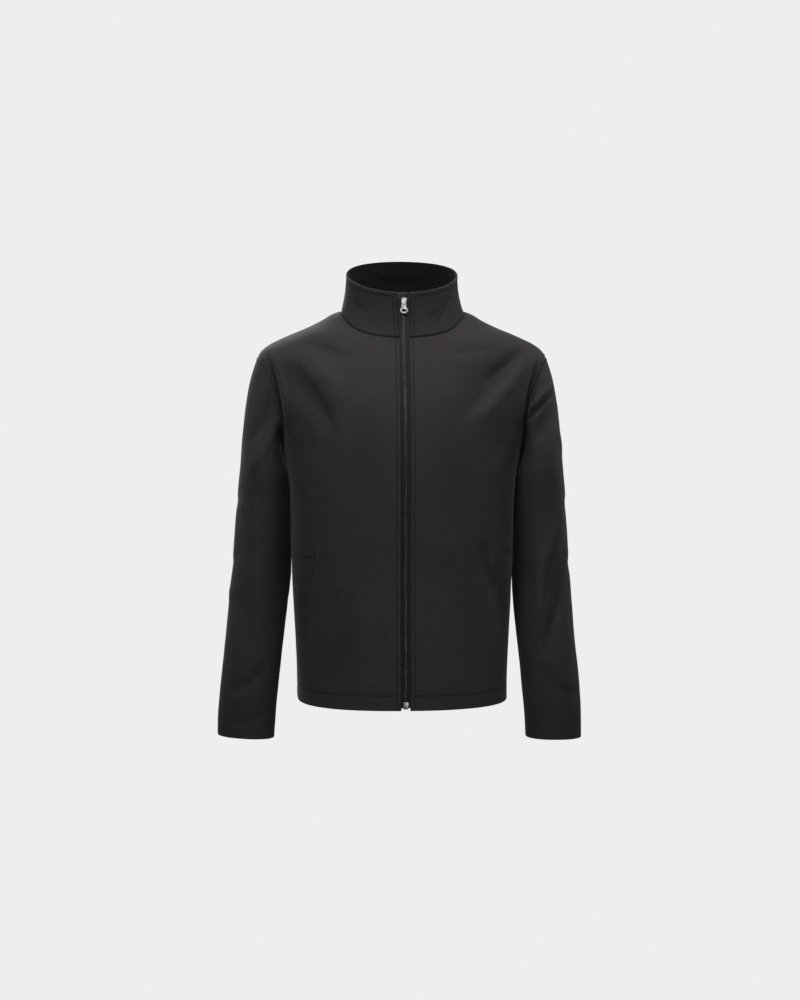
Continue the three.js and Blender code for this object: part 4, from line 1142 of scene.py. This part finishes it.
def rounded(setup):
    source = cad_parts[setup["node"]]
    bm = bmesh.new()
    bm.from_mesh(source.data)
    bm.transform(source.matrix_world)
    bmesh.ops.remove_doubles(bm, verts=bm.verts, dist=0.01 * mm)
    bmesh.ops.dissolve_limit(bm, angle_limit=math.radians(1.5), verts=bm.verts, edges=bm.edges)
    for v in bm.verts:  # narrows to its top, by this share for each millimetre
        if v.co.z > setup.get("crown", 1.0):
            v.co.x *= 1 - (v.co.z - setup["crown"]) / mm * setup["narrow"]
    thing = linked(setup["node"] + "_sharp", meshOf(bm, setup["node"]))
    bevel = thing.modifiers.new("round", "BEVEL")
    bevel.width = setup["round"]
    bevel.segments = 3
    bevel.limit_method = "ANGLE"
    bevel.angle_limit = math.radians(32)
    bevel.harden_normals = True
    result = bpy.data.meshes.new_from_object(thing.evaluated_get(bpy.context.evaluated_depsgraph_get()))
    bpy.data.objects.remove(thing)
    result.materials.clear()
    result.materials.append(nickelPlate)
    thing = linked(setup["node"] + "_plated", result)
    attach(thing, setup["body"])
    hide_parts(setup["node"])

for setup in metalware:
    rounded(setup)
print("metal rounded")


# Stage and lights
# The jacket floats above a round cove, which the camera sees evenly pale
stageSetup = {"floor": "#565656", "seen": "#eeeeee", "height": -1.25, "flat": 3.2, "bend": 1.6, "top": 6.0,
              "aim": (0, 0, -0.33), "world": "#d8d8d8", "worldStrength": 0.07}

def addStage():
    setup = stageSetup
    material, tree, surface, output = newMaterial("painted paper cove", {"Roughness": 0.9})
    surface.inputs["Base Color"].default_value = hexColour(setup["floor"])
    glow = addNode(tree, "ShaderNodeEmission", {"Color": hexColour(setup["seen"]), "Strength": 1.0})
    ray = addNode(tree, "ShaderNodeLightPath")
    mix = addNode(tree, "ShaderNodeMixShader", {
        0: ray.outputs["Is Camera Ray"], 1: surface.outputs["BSDF"], 2: glow.outputs["Emission"]})
    tree.links.new(mix.outputs["Shader"], output.inputs["Surface"])
    bm = bmesh.new()
    flat, height, bend = setup["flat"], setup["height"], setup["bend"]
    profile = [(0.0, height), (flat, height)]
    for k in range(1, 9):
        turn = math.pi / 2 * k / 8
        profile.append((flat + bend * math.sin(turn), height + bend * (1 - math.cos(turn))))
    profile.append((flat + bend, setup["top"]))
    verts = [bm.verts.new((r, 0, z)) for r, z in profile]
    edges = [bm.edges.new(pair) for pair in zip(verts, verts[1:])]
    bmesh.ops.spin(bm, geom=verts + edges, cent=(0, 0, 0), axis=(0, 0, 1), angle=2 * math.pi, steps=64,
                   use_merge=True)
    bmesh.ops.remove_doubles(bm, verts=bm.verts, dist=0.1 * mm)
    bmesh.ops.recalc_face_normals(bm, faces=bm.faces)
    mesh = meshOf(bm, "floor")
    mesh.materials.append(material)
    linked("floor", mesh)

lights = [
    {"name": "key", "place": (-0.9, -1.7, 1.8), "size": (0.8, 0.8), "power": 42},
    {"name": "front", "place": (0.15, -3.4, 0.3), "size": (0.07, 1.9), "power": 19},
    {"name": "fill", "place": (2.0, -1.8, 1.2), "size": (1.2, 1.2), "power": 12},
    {"name": "top", "place": (0.4, -0.6, 1.9), "size": (1.2, 0.9), "power": 22},
    {"name": "rimLeft", "place": (-2.4, 0.9, 0.7), "size": (0.6, 1.6), "power": 12},
    {"name": "rimRight", "place": (2.4, 0.9, 0.7), "size": (0.6, 1.6), "power": 12},
    {"name": "behind", "place": (-1.2, 2.6, 1.6), "size": (1.0, 1.0), "power": 46},
]

def addLights():
    for setup in lights:
        data = bpy.data.lights.new(setup["name"], "AREA")
        data.shape = "RECTANGLE"
        data.size, data.size_y = setup["size"]
        data.energy = setup["power"]
        light = bpy.data.objects.new(setup["name"], data)
        light.location = setup["place"]
        aim = Vector(stageSetup["aim"]) - light.location
        light.rotation_euler = aim.to_track_quat("-Z", "Y").to_euler()
        bpy.context.scene.collection.objects.link(light)
    world = bpy.data.worlds.new("studio")
    world.use_nodes = True
    background = world.node_tree.nodes["Background"]
    background.inputs["Color"].default_value = hexColour(stageSetup["world"])
    background.inputs["Strength"].default_value = stageSetup["worldStrength"]
    bpy.context.scene.world = world
    bpy.context.scene.view_settings.view_transform = "Standard"

addStage()
addLights()
print("stage and lights set")
